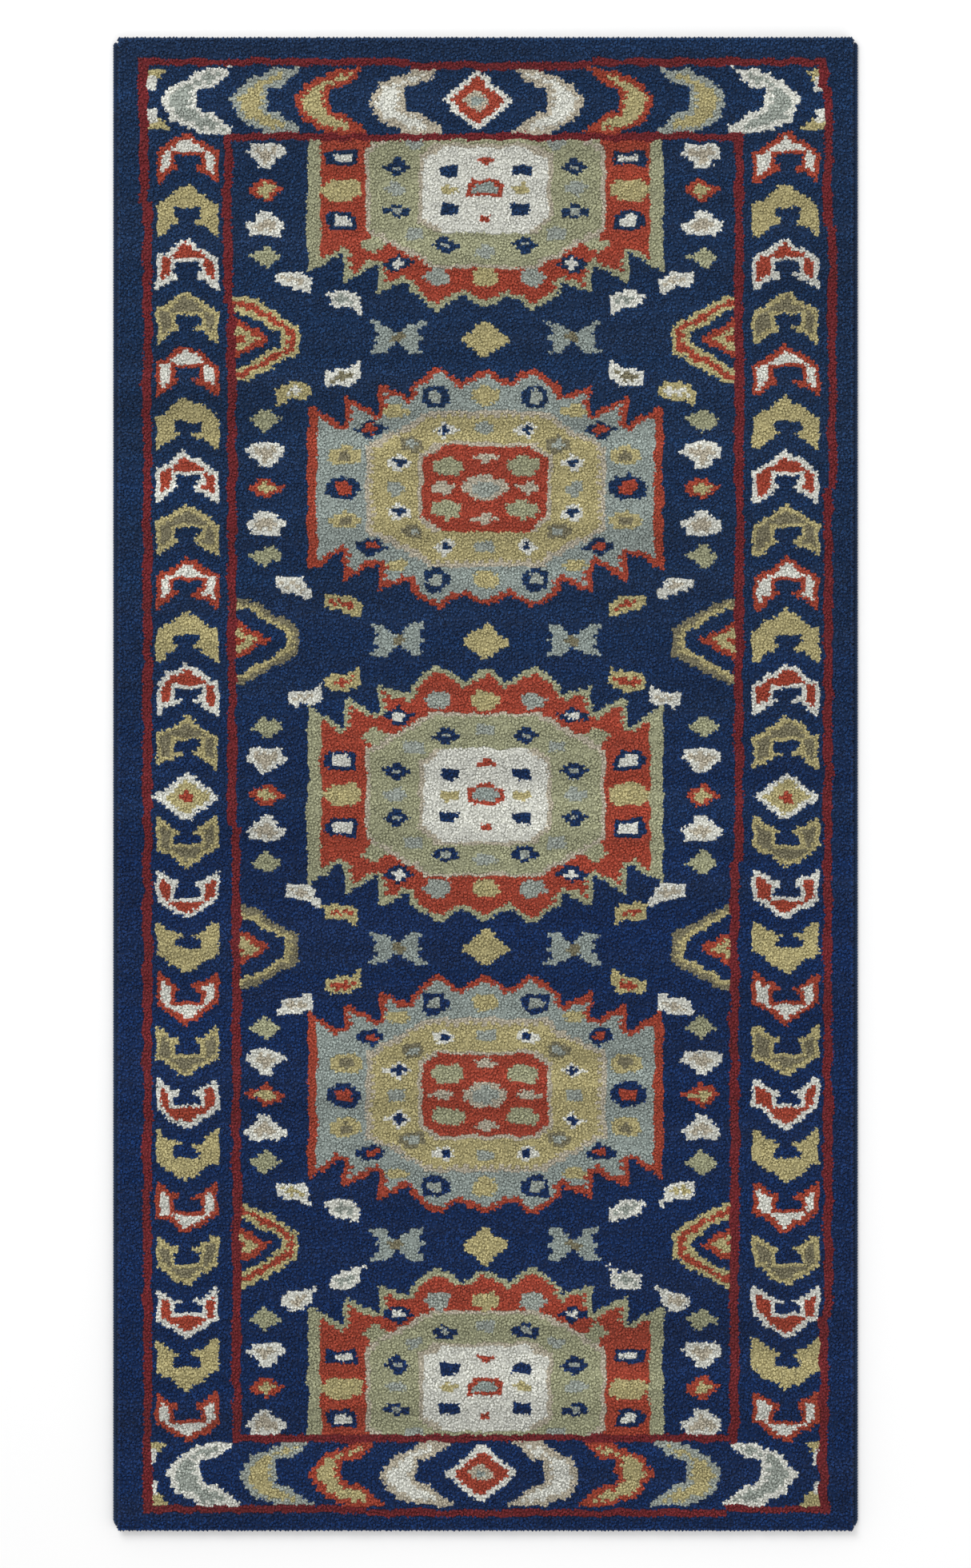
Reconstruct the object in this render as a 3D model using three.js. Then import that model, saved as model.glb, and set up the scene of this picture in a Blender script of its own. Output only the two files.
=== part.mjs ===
// A hand-knotted wool scatter rug, 2 ft wide and 4 ft long, lying flat with its pile up.
// X runs across the rug, Y from the foot end to the head end and Z up, in millimetres.
// The origin is on the floor under the middle of the rug.
//
// The cotton foundation carries everything. Two warp cords under an overcast wool wrap
// close the long edges. The flat-woven kilim at each end is folded under and sewn down.
// The cut pile is made of some seventy thousand knots, which stand here as inlaid
// blocks: one for each stretch of the pattern that is knotted in one ground yarn.
// The pattern is drawn on squared paper, as a knotter's chart is: u counts squares across
// from the centre line, and v counts them along from the middle, towards the head end.

import * as THREE from 'three';

// Driving dimensions, in millimetres and squares.
const WIDTH = 609.6;
const LENGTH = 1219.2;
const SQUARES_ACROSS = 120;
const SQUARES_ALONG = 300;
const FOUNDATION_HEIGHT = 3;
const PILE_HEIGHT = 9;
const SELVEDGE_RADIUS = 2.6;
const SELVEDGE_WALL = 1.1;
const SELVEDGE_SETBACK = 2;
const SELVEDGE_SIDES = 16;
const CLEARANCE = 0.3;
const CORNER_RADIUS = 5;
const CORNER_STEPS = 4;
const HEM_DEPTH = 22;
const HEM_HEIGHT = 1.4;
const HEM_FOLD = 1.6;
const STITCH_PITCH = 29;
const STITCH_REACH = 4.2;
const STITCH_THREAD = 1;
const STITCH_CHANNEL = 5.5;

// The pattern's driving numbers, in squares.
const OUTER_GUARD = { inside: 54.2, outside: 55.6, head: [144.4, 145.8], foot: [-145.3, -146.7] };
const INNER_GUARD = { inside: 40.1, outside: 41.5, head: [129.3, 130.7], foot: [-130.5, -131.9] };
const MEDALLION_ROWS = [119.4, 59.4, -2.2, -62.5, -121.3];
const MEDALLION_STRETCH = [1, 1, 1.07, 1, 1];
const SIDE_ARROW_ROWS = [89.3, 28.8, -33, -92.6];

// Widths of the narrow outlines, in millimetres.
const STAR_OUTLINE = 6.2;
const OCTAGON_EDGE = 6.2;
const CENTRE_EDGE = 5;

// A quarter of each outline, from the point over the centre to the point beside it.
const STAR_QUARTER = [
  [0, 24], [3.7, 21.4], [7.8, 24.4], [11.9, 20.6], [11.9, 18.2], [17.3, 21],
  [17.5, 15.2], [22.9, 18.6], [23.1, 12.9], [28.3, 16.7],
];
const OCTAGON_QUARTER = [[8.8, 15.6], [19, 8.6]];
const CENTRE_QUARTER = [[8.2, 9], [11, 6.2]];
const SIDE_ARROW_HALF = [[38.3, 9.3], [36.4, 8], [31.6, 4], [29.7, 2.5]];

const SQUARE_WIDTH = WIDTH / SQUARES_ACROSS;
const SQUARE_LENGTH = LENGTH / SQUARES_ALONG;
const HALF_LENGTH = LENGTH / 2;
const SELVEDGE_X = WIDTH / 2 - SELVEDGE_RADIUS;
const CLOTH_X = SELVEDGE_X - SELVEDGE_RADIUS - CLEARANCE;
const CLOTH_Y = HALF_LENGTH - HEM_FOLD;

// Yarn and thread colours.
const yarns = {
  navy: '#1f3255',
  madder: '#7a3b3e',
  brick: '#983e30',
  ivory: '#bcbfb2',
  cream: '#b2aa98',
  gold: '#9a9268',
  sage: '#8e9070',
  grey: '#87918e',
  cotton: '#d8d0bb',
};

const rug = new THREE.Group();

function woolMaterial(yarn) {
  return new THREE.MeshStandardMaterial({ color: yarns[yarn], roughness: 0.95, metalness: 0 });
}

function add(name, geometry, yarn) {
  const mesh = new THREE.Mesh(geometry, woolMaterial(yarn));
  mesh.name = name;
  rug.add(mesh);
  return mesh;
}

// ---- Outlines -----------------------------------------------------------------------

/** Chart points in squares as points in millimetres. */
function onRug(points) {
  return points.map(([u, v]) => new THREE.Vector2(u * SQUARE_WIDTH, v * SQUARE_LENGTH));
}

/** A quarter outline repeated to all four quarters, anticlockwise round the chart point (0, row). */
function mirrored(quarter, row, stretch) {
  const place = (signU, signV) => quarter.map(([u, v]) => [signU * u, row + signV * v * stretch]);
  const around = [
    ...place(1, 1).reverse(),
    ...place(-1, 1),
    ...place(-1, -1).reverse(),
    ...place(1, -1),
  ];
  return onRug(around.filter(([u, v], i) => {
    const [lastU, lastV] = around[(i + around.length - 1) % around.length];
    return Math.abs(u - lastU) + Math.abs(v - lastV) > 0;
  }));
}

/** An anticlockwise outline moved inwards by a distance. */
function inset(outline, distance) {
  const side = (a, b) => {
    const along = b.clone().sub(a).normalize();
    const inwards = new THREE.Vector2(-along.y, along.x).multiplyScalar(distance);
    return { start: a.clone().add(inwards), along };
  };
  return outline.map((point, i) => {
    const before = side(outline[(i + outline.length - 1) % outline.length], point);
    const after = side(point, outline[(i + 1) % outline.length]);
    const cross = before.along.cross(after.along);
    const reach = after.start.clone().sub(before.start).cross(after.along) / cross;
    return before.start.clone().addScaledVector(before.along, reach);
  });
}

/**
 * An outline cut off where it runs past the field's head or foot line. The result starts
 * and ends on the line it was cut at, and is left whole if it crosses neither.
 */
function trimmed(outline) {
  for (const [line, sign] of [[INNER_GUARD.head[0], 1], [INNER_GUARD.foot[0], -1]]) {
    const limit = line * SQUARE_LENGTH;
    const past = (p) => sign * (p.y - limit) > 0;
    if (!outline.some(past)) continue;
    const first = outline.findIndex((p, i) => !past(p) && past(outline.at(i - 1)));
    const turned = [...outline.slice(first), ...outline.slice(0, first)];
    const kept = turned.slice(0, turned.findIndex(past));
    const crossing = (inner, outer) => {
      const share = (limit - inner.y) / (outer.y - inner.y);
      return new THREE.Vector2(inner.x + share * (outer.x - inner.x), limit);
    };
    const start = crossing(kept[0], turned.at(-1));
    const end = crossing(kept.at(-1), turned[kept.length]);
    return { points: [start, ...kept, end], open: true };
  }
  return { points: outline, open: false };
}

// ---- Blocks of pile -----------------------------------------------------------------

function pileBlock(name, shape, yarn) {
  const geometry = new THREE.ExtrudeGeometry(shape, {
    depth: PILE_HEIGHT,
    bevelEnabled: false,
    curveSegments: CORNER_STEPS,
  });
  const block = add(name, geometry, yarn);
  block.position.z = FOUNDATION_HEIGHT;
  return block;
}

function rectangle(left, right, foot, head) {
  return onRug([[left, foot], [right, foot], [right, head], [left, head]]);
}

/** The pile between two outlines. Where both were cut at the field's edge, it is open there. */
function band(outer, inner) {
  if (outer.open && inner.open) {
    return new THREE.Shape([...outer.points, ...inner.points.slice().reverse()]);
  }
  const shape = new THREE.Shape(outer.points);
  shape.holes.push(new THREE.Path(inner.points));
  return shape;
}

/** The plain navy margin: a strip at each end, with the corners taken off, and one up each side. */
function buildMargin() {
  const side = OUTER_GUARD.outside * SQUARE_WIDTH;
  const head = OUTER_GUARD.head[1] * SQUARE_LENGTH;
  const foot = OUTER_GUARD.foot[1] * SQUARE_LENGTH;
  for (const [name, start, sign] of [['head', head, 1], ['foot', foot, -1]]) {
    const end = sign * HALF_LENGTH;
    const corner = CORNER_RADIUS;
    const strip = new THREE.Shape();
    strip.moveTo(-CLOTH_X, start);
    strip.lineTo(CLOTH_X, start);
    strip.lineTo(CLOTH_X, end - sign * corner);
    strip.quadraticCurveTo(CLOTH_X, end, CLOTH_X - corner, end);
    strip.lineTo(-CLOTH_X + corner, end);
    strip.quadraticCurveTo(-CLOTH_X, end, -CLOTH_X, end - sign * corner);
    pileBlock(`margin_pile_${name}`, strip, 'navy');
  }
  for (const [name, sign] of [['left', -1], ['right', 1]]) {
    const strip = [[side, foot], [CLOTH_X, foot], [CLOTH_X, head], [side, head]];
    pileBlock(
      `margin_pile_${name}`,
      new THREE.Shape(strip.map(([x, y]) => new THREE.Vector2(sign * x, y))),
      'navy',
    );
  }
}

/** A narrow madder stripe that runs all round. */
function buildGuard(name, guard) {
  const ring = (side, edge) => ({
    points: rectangle(-side, side, guard.foot[edge], guard.head[edge]),
    open: false,
  });
  pileBlock(name, band(ring(guard.outside, 1), ring(guard.inside, 0)), 'madder');
}

/** The border's navy ground: a band across each end and one up each side between them. */
function buildBorder() {
  const [outer, inner] = [OUTER_GUARD, INNER_GUARD];
  const strips = {
    head: rectangle(-outer.inside, outer.inside, inner.head[1], outer.head[0]),
    foot: rectangle(-outer.inside, outer.inside, outer.foot[0], inner.foot[1]),
    left: rectangle(-outer.inside, -inner.outside, inner.foot[1], inner.head[1]),
    right: rectangle(inner.outside, outer.inside, inner.foot[1], inner.head[1]),
  };
  for (const [name, outline] of Object.entries(strips)) {
    pileBlock(`border_pile_${name}`, new THREE.Shape(outline), 'navy');
  }
}

/** A side arrow's outline, from its head end to its foot end, on the left or right of the field. */
function arrowOutline(row, sign) {
  const base = [INNER_GUARD.inside, SIDE_ARROW_HALF[0][1]];
  const half = [base, ...SIDE_ARROW_HALF];
  const foot = half.slice().reverse().map(([u, v]) => [u, -v]);
  return onRug([...half, ...foot].map(([u, v]) => [sign * u, row + v]));
}

/** The arrows that point into the field from the inner guard, and the triangles inside them. */
function buildSideArrows() {
  SIDE_ARROW_ROWS.forEach((row, i) => {
    for (const [name, sign] of [['left', -1], ['right', 1]]) {
      pileBlock(`side_arrow_${i + 1}_${name}`, new THREE.Shape(arrowOutline(row, sign)), 'gold');
    }
  });
}

/** The nested outlines of one medallion, from its star to its centre square. */
function medallionOutlines(index) {
  const row = MEDALLION_ROWS[index];
  const stretch = MEDALLION_STRETCH[index];
  const star = mirrored(STAR_QUARTER, row, stretch);
  const octagon = mirrored(OCTAGON_QUARTER, row, stretch);
  const centre = mirrored(CENTRE_QUARTER, row, stretch);
  return [
    star,
    inset(star, STAR_OUTLINE),
    octagon,
    inset(octagon, OCTAGON_EDGE),
    centre,
    inset(centre, CENTRE_EDGE),
  ].map(trimmed);
}

/**
 * The five medallions. The first, third and fifth have a brick ground in a sage outline,
 * and the others a grey ground in a brick outline. The first and last run off the field.
 */
function buildMedallions() {
  const brickSet = ['sage', 'brick', 'cream', 'sage', 'cream', 'ivory'];
  const greySet = ['brick', 'grey', 'ivory', 'gold', 'ivory', 'brick'];
  const zones = ['outline', 'ground', 'octagon_edge', 'octagon', 'centre_edge', 'centre'];
  MEDALLION_ROWS.forEach((_, i) => {
    const outlines = medallionOutlines(i);
    const colours = i % 2 === 0 ? brickSet : greySet;
    zones.forEach((zone, ring) => {
      const outer = outlines[ring];
      const inner = outlines[ring + 1];
      const shape = inner ? band(outer, inner) : new THREE.Shape(outer.points);
      pileBlock(`medallion_${i + 1}_${zone}`, shape, colours[ring]);
    });
  });
}

/** The field's navy ground, around the medallions and the side arrows. */
function buildField() {
  const stars = MEDALLION_ROWS.map((_, i) => medallionOutlines(i)[0]);
  const corner = (sign, row) => onRug([[sign * INNER_GUARD.inside, row]]);
  const arrowsUp = (sign) => [...SIDE_ARROW_ROWS].reverse()
    .flatMap((row) => arrowOutline(row, sign).reverse());
  const arrowsDown = (sign) => SIDE_ARROW_ROWS.flatMap((row) => arrowOutline(row, sign));
  const outline = [
    ...corner(1, INNER_GUARD.foot[0]),
    ...arrowsUp(1),
    ...corner(1, INNER_GUARD.head[0]),
    ...stars[0].points.slice().reverse(),
    ...corner(-1, INNER_GUARD.head[0]),
    ...arrowsDown(-1),
    ...corner(-1, INNER_GUARD.foot[0]),
    ...stars.at(-1).points.slice().reverse(),
  ];
  const shape = new THREE.Shape(outline);
  for (const star of stars.slice(1, -1)) shape.holes.push(new THREE.Path(star.points));
  pileBlock('field_pile', shape, 'navy');
}

// ---- Cloth, hems and edges ------------------------------------------------------------

/** A profile in (y, z) drawn out across the rug, from one selvedge to the other. */
function acrossTheRug(name, profile, yarn) {
  const shape = new THREE.Shape(profile.map(([y, z]) => new THREE.Vector2(y, z)));
  const geometry = new THREE.ExtrudeGeometry(shape, { depth: 2 * CLOTH_X, bevelEnabled: false });
  geometry.rotateX(Math.PI / 2);
  geometry.rotateZ(Math.PI / 2);
  geometry.translate(-CLOTH_X, 0, 0);
  add(name, geometry, yarn);
}

/** The woven cotton cloth, thinner over each hem and over the row of stitches beside it. */
function buildFoundation() {
  const hemStart = HALF_LENGTH - HEM_DEPTH;
  const channelStart = hemStart - STITCH_CHANNEL;
  const end = [
    [channelStart, 0],
    [channelStart, STITCH_THREAD],
    [hemStart, STITCH_THREAD],
    [hemStart, HEM_HEIGHT],
    [CLOTH_Y, HEM_HEIGHT],
    [CLOTH_Y, FOUNDATION_HEIGHT],
  ];
  const foot = end.slice().reverse().map(([y, z]) => [-y, z]);
  acrossTheRug('foundation_cloth', [...end, ...foot], 'cotton');
}

/** The kilim at each end: it wraps the edge and lies folded under the cloth. */
function buildHems() {
  const hemStart = HALF_LENGTH - HEM_DEPTH;
  const profile = [
    [hemStart, 0],
    [HALF_LENGTH, 0],
    [HALF_LENGTH, FOUNDATION_HEIGHT],
    [CLOTH_Y, FOUNDATION_HEIGHT],
    [CLOTH_Y, HEM_HEIGHT],
    [hemStart, HEM_HEIGHT],
  ];
  acrossTheRug('kilim_hem_head', profile, 'cotton');
  acrossTheRug('kilim_hem_foot', profile.map(([y, z]) => [-y, z]), 'cotton');
}

/** The slanting stitches that hold each hem, sunk in the channel beside its edge. */
function buildHemStitches() {
  const steps = Math.floor((2 * CLOTH_X) / STITCH_PITCH) * 2;
  const middle = HALF_LENGTH - HEM_DEPTH - STITCH_CHANNEL / 2;
  const swing = (STITCH_REACH - STITCH_THREAD) / 2;
  const edge = (offset) => Array.from({ length: steps + 1 }, (_, i) => [
    (i - steps / 2) * (STITCH_PITCH / 2),
    middle + (i % 2 === 0 ? -swing : swing) + offset,
  ]);
  const outline = [...edge(-STITCH_THREAD / 2), ...edge(STITCH_THREAD / 2).reverse()];
  for (const [name, sign] of [['head', 1], ['foot', -1]]) {
    const shape = new THREE.Shape(outline.map(([x, y]) => new THREE.Vector2(x, sign * y)));
    const thread = new THREE.ExtrudeGeometry(shape, { depth: STITCH_THREAD, bevelEnabled: false });
    add(`hem_stitch_${name}`, thread, 'cotton');
  }
}

function circle(radius) {
  return Array.from({ length: SELVEDGE_SIDES }, (_, i) => {
    const angle = ((i + 0.5) / SELVEDGE_SIDES) * 2 * Math.PI - Math.PI / 2;
    return new THREE.Vector2(radius * Math.cos(angle), radius * Math.sin(angle));
  });
}

/** The corded edge up each side: a bundle of cotton warps inside an overcast wool wrap. */
function buildSelvedges() {
  const flatToFlat = Math.cos(Math.PI / SELVEDGE_SIDES);
  const outside = SELVEDGE_RADIUS / flatToFlat;
  const bore = outside - SELVEDGE_WALL;
  const wrap = new THREE.Shape(circle(outside));
  wrap.holes.push(new THREE.Path(circle(bore)));
  const cord = new THREE.Shape(circle(bore - CLEARANCE));
  const depth = LENGTH - 2 * SELVEDGE_SETBACK;
  for (const [name, sign] of [['left', -1], ['right', 1]]) {
    for (const [piece, shape, yarn] of [['cord', cord, 'cotton'], ['wrap', wrap, 'navy']]) {
      const geometry = new THREE.ExtrudeGeometry(shape, { depth, bevelEnabled: false });
      geometry.rotateX(Math.PI / 2);
      const mesh = add(`selvedge_${piece}_${name}`, geometry, yarn);
      mesh.position.set(sign * SELVEDGE_X, depth / 2, SELVEDGE_RADIUS);
    }
  }
}

buildFoundation();
buildHems();
buildHemStitches();
buildSelvedges();
buildMargin();
buildGuard('outer_guard_pile', OUTER_GUARD);
buildBorder();
buildGuard('inner_guard_pile', INNER_GUARD);
buildSideArrows();
buildMedallions();
buildField();

export default rug;
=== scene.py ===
"""The wool rug's looks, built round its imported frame.

The pile is tied from a knotter's chart, two cut ends of yarn to a knot, over a
woven foundation with kilim hems, hem stitches and overcast selvedges. Metres, Z up.
"""

import math

import bpy
import numpy as np
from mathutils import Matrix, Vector


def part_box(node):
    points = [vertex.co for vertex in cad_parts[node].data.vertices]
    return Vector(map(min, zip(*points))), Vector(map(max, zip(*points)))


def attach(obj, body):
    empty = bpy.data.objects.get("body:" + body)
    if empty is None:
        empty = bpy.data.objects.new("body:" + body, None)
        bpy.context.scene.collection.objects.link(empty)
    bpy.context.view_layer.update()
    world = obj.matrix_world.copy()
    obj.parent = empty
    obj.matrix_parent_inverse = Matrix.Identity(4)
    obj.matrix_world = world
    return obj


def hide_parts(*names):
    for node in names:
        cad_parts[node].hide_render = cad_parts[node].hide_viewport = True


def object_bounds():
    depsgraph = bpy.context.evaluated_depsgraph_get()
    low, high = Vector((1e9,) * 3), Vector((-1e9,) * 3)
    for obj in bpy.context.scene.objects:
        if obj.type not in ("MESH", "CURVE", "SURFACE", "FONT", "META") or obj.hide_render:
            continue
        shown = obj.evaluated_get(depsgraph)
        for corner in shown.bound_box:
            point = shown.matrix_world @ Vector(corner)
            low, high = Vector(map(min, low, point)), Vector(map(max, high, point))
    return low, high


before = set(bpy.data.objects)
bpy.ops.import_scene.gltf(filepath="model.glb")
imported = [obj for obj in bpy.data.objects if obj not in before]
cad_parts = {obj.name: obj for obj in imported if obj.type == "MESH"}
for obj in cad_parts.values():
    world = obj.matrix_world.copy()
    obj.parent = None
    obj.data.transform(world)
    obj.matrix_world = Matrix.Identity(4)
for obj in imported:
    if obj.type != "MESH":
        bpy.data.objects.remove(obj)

bl_info = {
    "name": "Hand-Knotted Wool Rug",
    "version": (1, 0, 0),
    "blender": (4, 5, 0),
    "location": "3D View > Sidebar > Rug",
    "description": "Ties a small tribal rug, knot by knot, on its woven foundation",
    "category": "Add Mesh",
}

CAD_LOW, CAD_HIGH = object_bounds()

# ---- The knotter's chart ------------------------------------------------------------
# The pattern is drawn on squared paper, as in part.mjs: u counts squares across from the
# centre line and v counts them along from the middle, towards the head end. The rug is
# tied finer than it is drawn. Each cell of the chart is one knot: its yarn and its part.

SQUARES_ACROSS = 120
SQUARES_ALONG = 300
KNOTS_PER_SQUARE = 1.4
KNOTS_ACROSS = round(SQUARES_ACROSS * KNOTS_PER_SQUARE)
ROWS_ALONG = round(SQUARES_ALONG * KNOTS_PER_SQUARE)
YARNS = ("navy", "madder", "brick", "ivory", "cream", "gold", "sage", "taupe", "silver", "grey")

COLUMN, ROW = np.meshgrid(np.arange(KNOTS_ACROSS), np.arange(ROWS_ALONG))
U = (COLUMN + 0.5) / KNOTS_PER_SQUARE - SQUARES_ACROSS / 2
V = (ROW + 0.5) / KNOTS_PER_SQUARE - SQUARES_ALONG / 2

# Where the weaver's guard lines really run: (v, u) points up each side of the rug, and
# (u, v) points across each end.
OUTER_LINES = {
    "left": ((-150, -54.6), (0, -54.4), (60, -54.5), (110, -54.5), (150, -55.4)),
    "right": ((-150, 54.5), (0, 55.0), (100, 55.6), (130, 55.0), (150, 54.3)),
    "head": ((-60, 145.2), (0, 144.5), (60, 145.0)),
    "foot": ((-60, -145.8), (0, -146.2), (60, -146.0)),
}
INNER_LINES = {
    "left": ((-150, -39.8), (-60, -40.1), (40, -40.6), (90, -41.0), (150, -41.7)),
    "right": ((-150, 40.0), (0, 40.4), (90, 40.7), (150, 41.1)),
    "head": ((-60, 130.2), (0, 129.8), (60, 130.0)),
    "foot": ((-60, -131.1), (60, -131.3)),
}

MEDALLION_ROWS = (119.4, 59.4, -2.2, -62.5, -121.3)
MEDALLION_STRETCH = (1, 1, 1.07, 1, 1)
GAP_ROWS = (89.4, 28.8, -33.0, -92.6)

# A quarter of each outline in a medallion, from over its middle round to beside it.
STAR_QUARTER = (
    (0, 24), (3.7, 21.4), (7.8, 24.4), (11.9, 20.6), (11.9, 18.2), (17.3, 21),
    (17.5, 15.2), (22.9, 18.6), (23.1, 12.9), (28.3, 16.7),
)
OCTAGON_QUARTER = ((8.8, 15.6), (19, 8.6))
CENTRE_QUARTER = ((8.2, 9), (11, 6.2))
BRICK_CENTRE_QUARTER = ((7, 8.4), (9.8, 6))

ARROW_HALF = ((41, 8.8), (38.3, 8.4), (36.4, 7.2), (31.6, 3.8), (29.7, 2.3))
CHEVRON_HALF = (
    (0, 5.5), (5.2, 1.3), (5.2, -5), (4.6, -5), (2.9, -3.2), (0.8, -2.1), (2, -1.1),
    (2, 0.6), (0, 0.6),
)
CRESCENT = (
    (0, 0), (2, 3.2), (7, 6.3), (11.4, 6.7), (9.8, 4.2), (8.2, 2.9), (6, 2.9), (5.9, -1.3),
    (6.5, -2.4), (8.2, -2.4), (9.8, -4), (12, -6.2), (6, -6.5), (1.9, -4.3),
)
BLOB = (
    (-3.3, 0.2), (-2.4, 2.2), (2.4, 2.2), (3.3, 0.2), (1.6, -1.2), (0.9, -2.7),
    (-0.9, -2.7), (-1.6, -1.2),
)
TAILED_BLOB = (
    (-2.8, 1.6), (-1.4, 2.2), (1.2, 1.8), (2.6, 0.6), (2.9, -2.8), (1.6, -2.2),
    (0.8, -1.4), (-1.4, -1.3), (-2.6, -0.4),
)


def filled(outline):
    """The knots whose middles lie inside an outline."""
    inside = np.zeros(U.shape, bool)
    for (u0, v0), (u1, v1) in zip(outline, outline[1:] + outline[:1]):
        if v0 != v1:
            at = u0 + (V - v0) * (u1 - u0) / (v1 - v0)
            inside ^= ((v0 > V) != (v1 > V)) & (U < at)
    return inside


def oval(u, v, across, along):
    return ((U - u) / across) ** 2 + ((V - v) / along) ** 2 <= 1


def cushion(u, v, across, along):
    return ((U - u) / across) ** 4 + ((V - v) / along) ** 4 <= 1


def diamond(u, v, across, along):
    return np.abs(U - u) / across + np.abs(V - v) / along <= 1


def placed(outline, u, v, side=1, way=1):
    """An outline moved to (u, v), with its sides or its ends swapped over."""
    return tuple((u + side * a, v + way * b) for a, b in outline)


def whole(quarter, row, stretch=1.0):
    """All four quarters of an outline round the middle of the rug at a row."""
    first = [(u, v * stretch) for u, v in quarter]
    second = [(-u, v) for u, v in first]
    upper = second[::-1] + first
    lower = [(u, -v) for u, v in upper[::-1]]
    return placed(upper + lower, 0, row)


def both_halves(half, across=True):
    """An outline given down one side, closed by its mirror image."""
    return tuple(half) + tuple((-u, v) if across else (u, -v) for u, v in half[::-1])


def shifted(knots, columns, rows):
    """The same knots seen from a number of knots to the right of them and above them."""
    reach = 2
    near = np.pad(knots, reach)
    return near[reach + rows:reach + rows + knots.shape[0],
                reach + columns:reach + columns + knots.shape[1]]


def core(knots, toothed=True):
    """The knots of a shape that aren't on its edge.

    The edge is one knot wide. A toothed edge takes in every other knot of the next row too.
    """
    steps = ((-1, 0), (1, 0), (0, -1), (0, 1), (-1, -1), (-1, 1), (1, -1), (1, 1))
    left = knots.copy()
    for step in steps:
        left &= shifted(knots, *step)
    if toothed:
        tooth = (COLUMN + ROW) % 2 == 0
        for columns, rows in ((-2, 0), (2, 0), (0, -2), (0, 2)):
            left &= shifted(knots, columns, rows) | tooth
    return left


class Chart:
    """Each knot's yarn, and the part of the pile that it belongs to.

    What is drawn is tied only inside the region that is being worked, the whole rug at first.
    """

    def __init__(self):
        self.yarn = np.full(U.shape, YARNS.index("navy"))
        self.part = np.full(U.shape, "field_pile", dtype="<U32")
        self.ground = {"field_pile": YARNS.index("navy")}
        self.worked = self.border = self.field = np.ones(U.shape, bool)

    def tie(self, knots, yarn, part=None):
        knots = knots & self.worked
        self.yarn[knots] = YARNS.index(yarn)
        if part:
            self.part[knots] = part
            self.ground[part] = YARNS.index(yarn)

    def rimmed(self, knots, rim, fill, toothed=True):
        self.tie(knots, rim)
        self.tie(core(knots, toothed), fill)


def line_at(points, along):
    """Where a line through some points is, at places along it."""
    places, values = zip(*points)
    return np.interp(along, places, values)


def guard_regions(lines):
    """The knots outside a guard stripe on each side, those on it, and those it encloses."""
    half = 1 / KNOTS_PER_SQUARE

    def line(side, along):
        """The stripe's middle, kept between two knots."""
        return np.round(line_at(lines[side], along) * KNOTS_PER_SQUARE) / KNOTS_PER_SQUARE

    past = {
        "head": V - line("head", U), "foot": line("foot", U) - V,
        "left": line("left", V) - U, "right": U - line("right", V),
    }
    outside, taken = {}, np.zeros(U.shape, bool)
    for side, beyond in past.items():
        outside[side] = (beyond > half) & ~taken
        taken |= outside[side]
    enclosed = np.all([beyond < -half for beyond in past.values()], axis=0)
    return outside, ~taken & ~enclosed, enclosed


def draw_borders(chart):
    margins, guard, rest = guard_regions(OUTER_LINES)
    strips, inner_guard, field = guard_regions(INNER_LINES)
    for side, knots in margins.items():
        chart.tie(knots, "navy", f"margin_pile_{side}")
    for side, knots in strips.items():
        chart.tie(knots & rest, "navy", f"border_pile_{side}")
    chart.tie(guard, "madder", "outer_guard_pile")
    chart.tie(inner_guard & rest, "madder", "inner_guard_pile")
    chart.border, chart.field = rest & ~field & ~inner_guard, field


CHEVRON_COLUMNS = (-48.0, 48.4)
MEETING_ROW = -2.7
CHEVRON_ROWS = (
    (1, 125.6, -10.68, ("brick ivory", "gold gold", "ivory brick", "gold taupe") * 3),
    (-1, -11.5, -10.5, ("gold taupe", "ivory brick", "gold gold", "brick ivory") * 3),
)


def draw_chevrons(chart):
    """The chevrons up each side, which run both ways from a diamond."""
    outline = both_halves(CHEVRON_HALF)
    for column in CHEVRON_COLUMNS:
        for way, start, step, colours in CHEVRON_ROWS:
            for i, pair in enumerate(colours):
                knots = filled(placed(outline, column, start + i * step, 1, way))
                chart.rimmed(knots, *pair.split(), toothed=False)
        chart.rimmed(diamond(column, MEETING_ROW, 5.6, 4.9), "ivory", "gold")
        chart.tie(diamond(column, MEETING_ROW, 1.4, 1.1), "brick")


# Each end band's row, and where its diamond and its crescents' points are, outermost first.
END_BANDS = (
    (137.3, -1.3, (-52.2, -41.2, -31.0, -18.8), (50.8, 39.0, 27.5, 16.0)),
    (-138.5, -0.7, (-51.5, -39.5, -28.5, -17.0), (50.0, 38.3, 27.0, 15.5)),
)
CRESCENT_COLOURS = ("ivory silver", "silver gold", "brick gold", "cream ivory")
CORNER_COLUMN = 54.5
CORNER_WEDGES = {
    -1: ((0, -1.2), (-4, -6.2), (0, -6.2)),
    1: ((0, 0.8), (-3.2, 6.3), (0, 6.3)),
}


def draw_end_bands(chart):
    """The crescents across each end, either side of a diamond, and the wedges in its corners."""
    for row, middle, lefts, rights in END_BANDS:
        for side, points in ((1, lefts), (-1, rights)):
            for point, pair in zip(points, CRESCENT_COLOURS):
                chart.rimmed(filled(placed(CRESCENT, point, row, side)), *pair.split())
        chart.rimmed(diamond(middle, row, 5.9, 6.3), "ivory", "brick")
        chart.tie(diamond(middle, row, 2.2, 2.2), "cream")
        chart.tie(oval(middle, row, 1.1, 0.9), "grey")
        for corner in (-1, 1):
            column = corner * CORNER_COLUMN
            for end, wedge in CORNER_WEDGES.items():
                chart.tie(filled(placed(wedge, column, row, corner)), "gold")
                chart.tie(oval(column - corner * 0.8, row + end * 3.2, 1.2, 1.5), "ivory")


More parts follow.
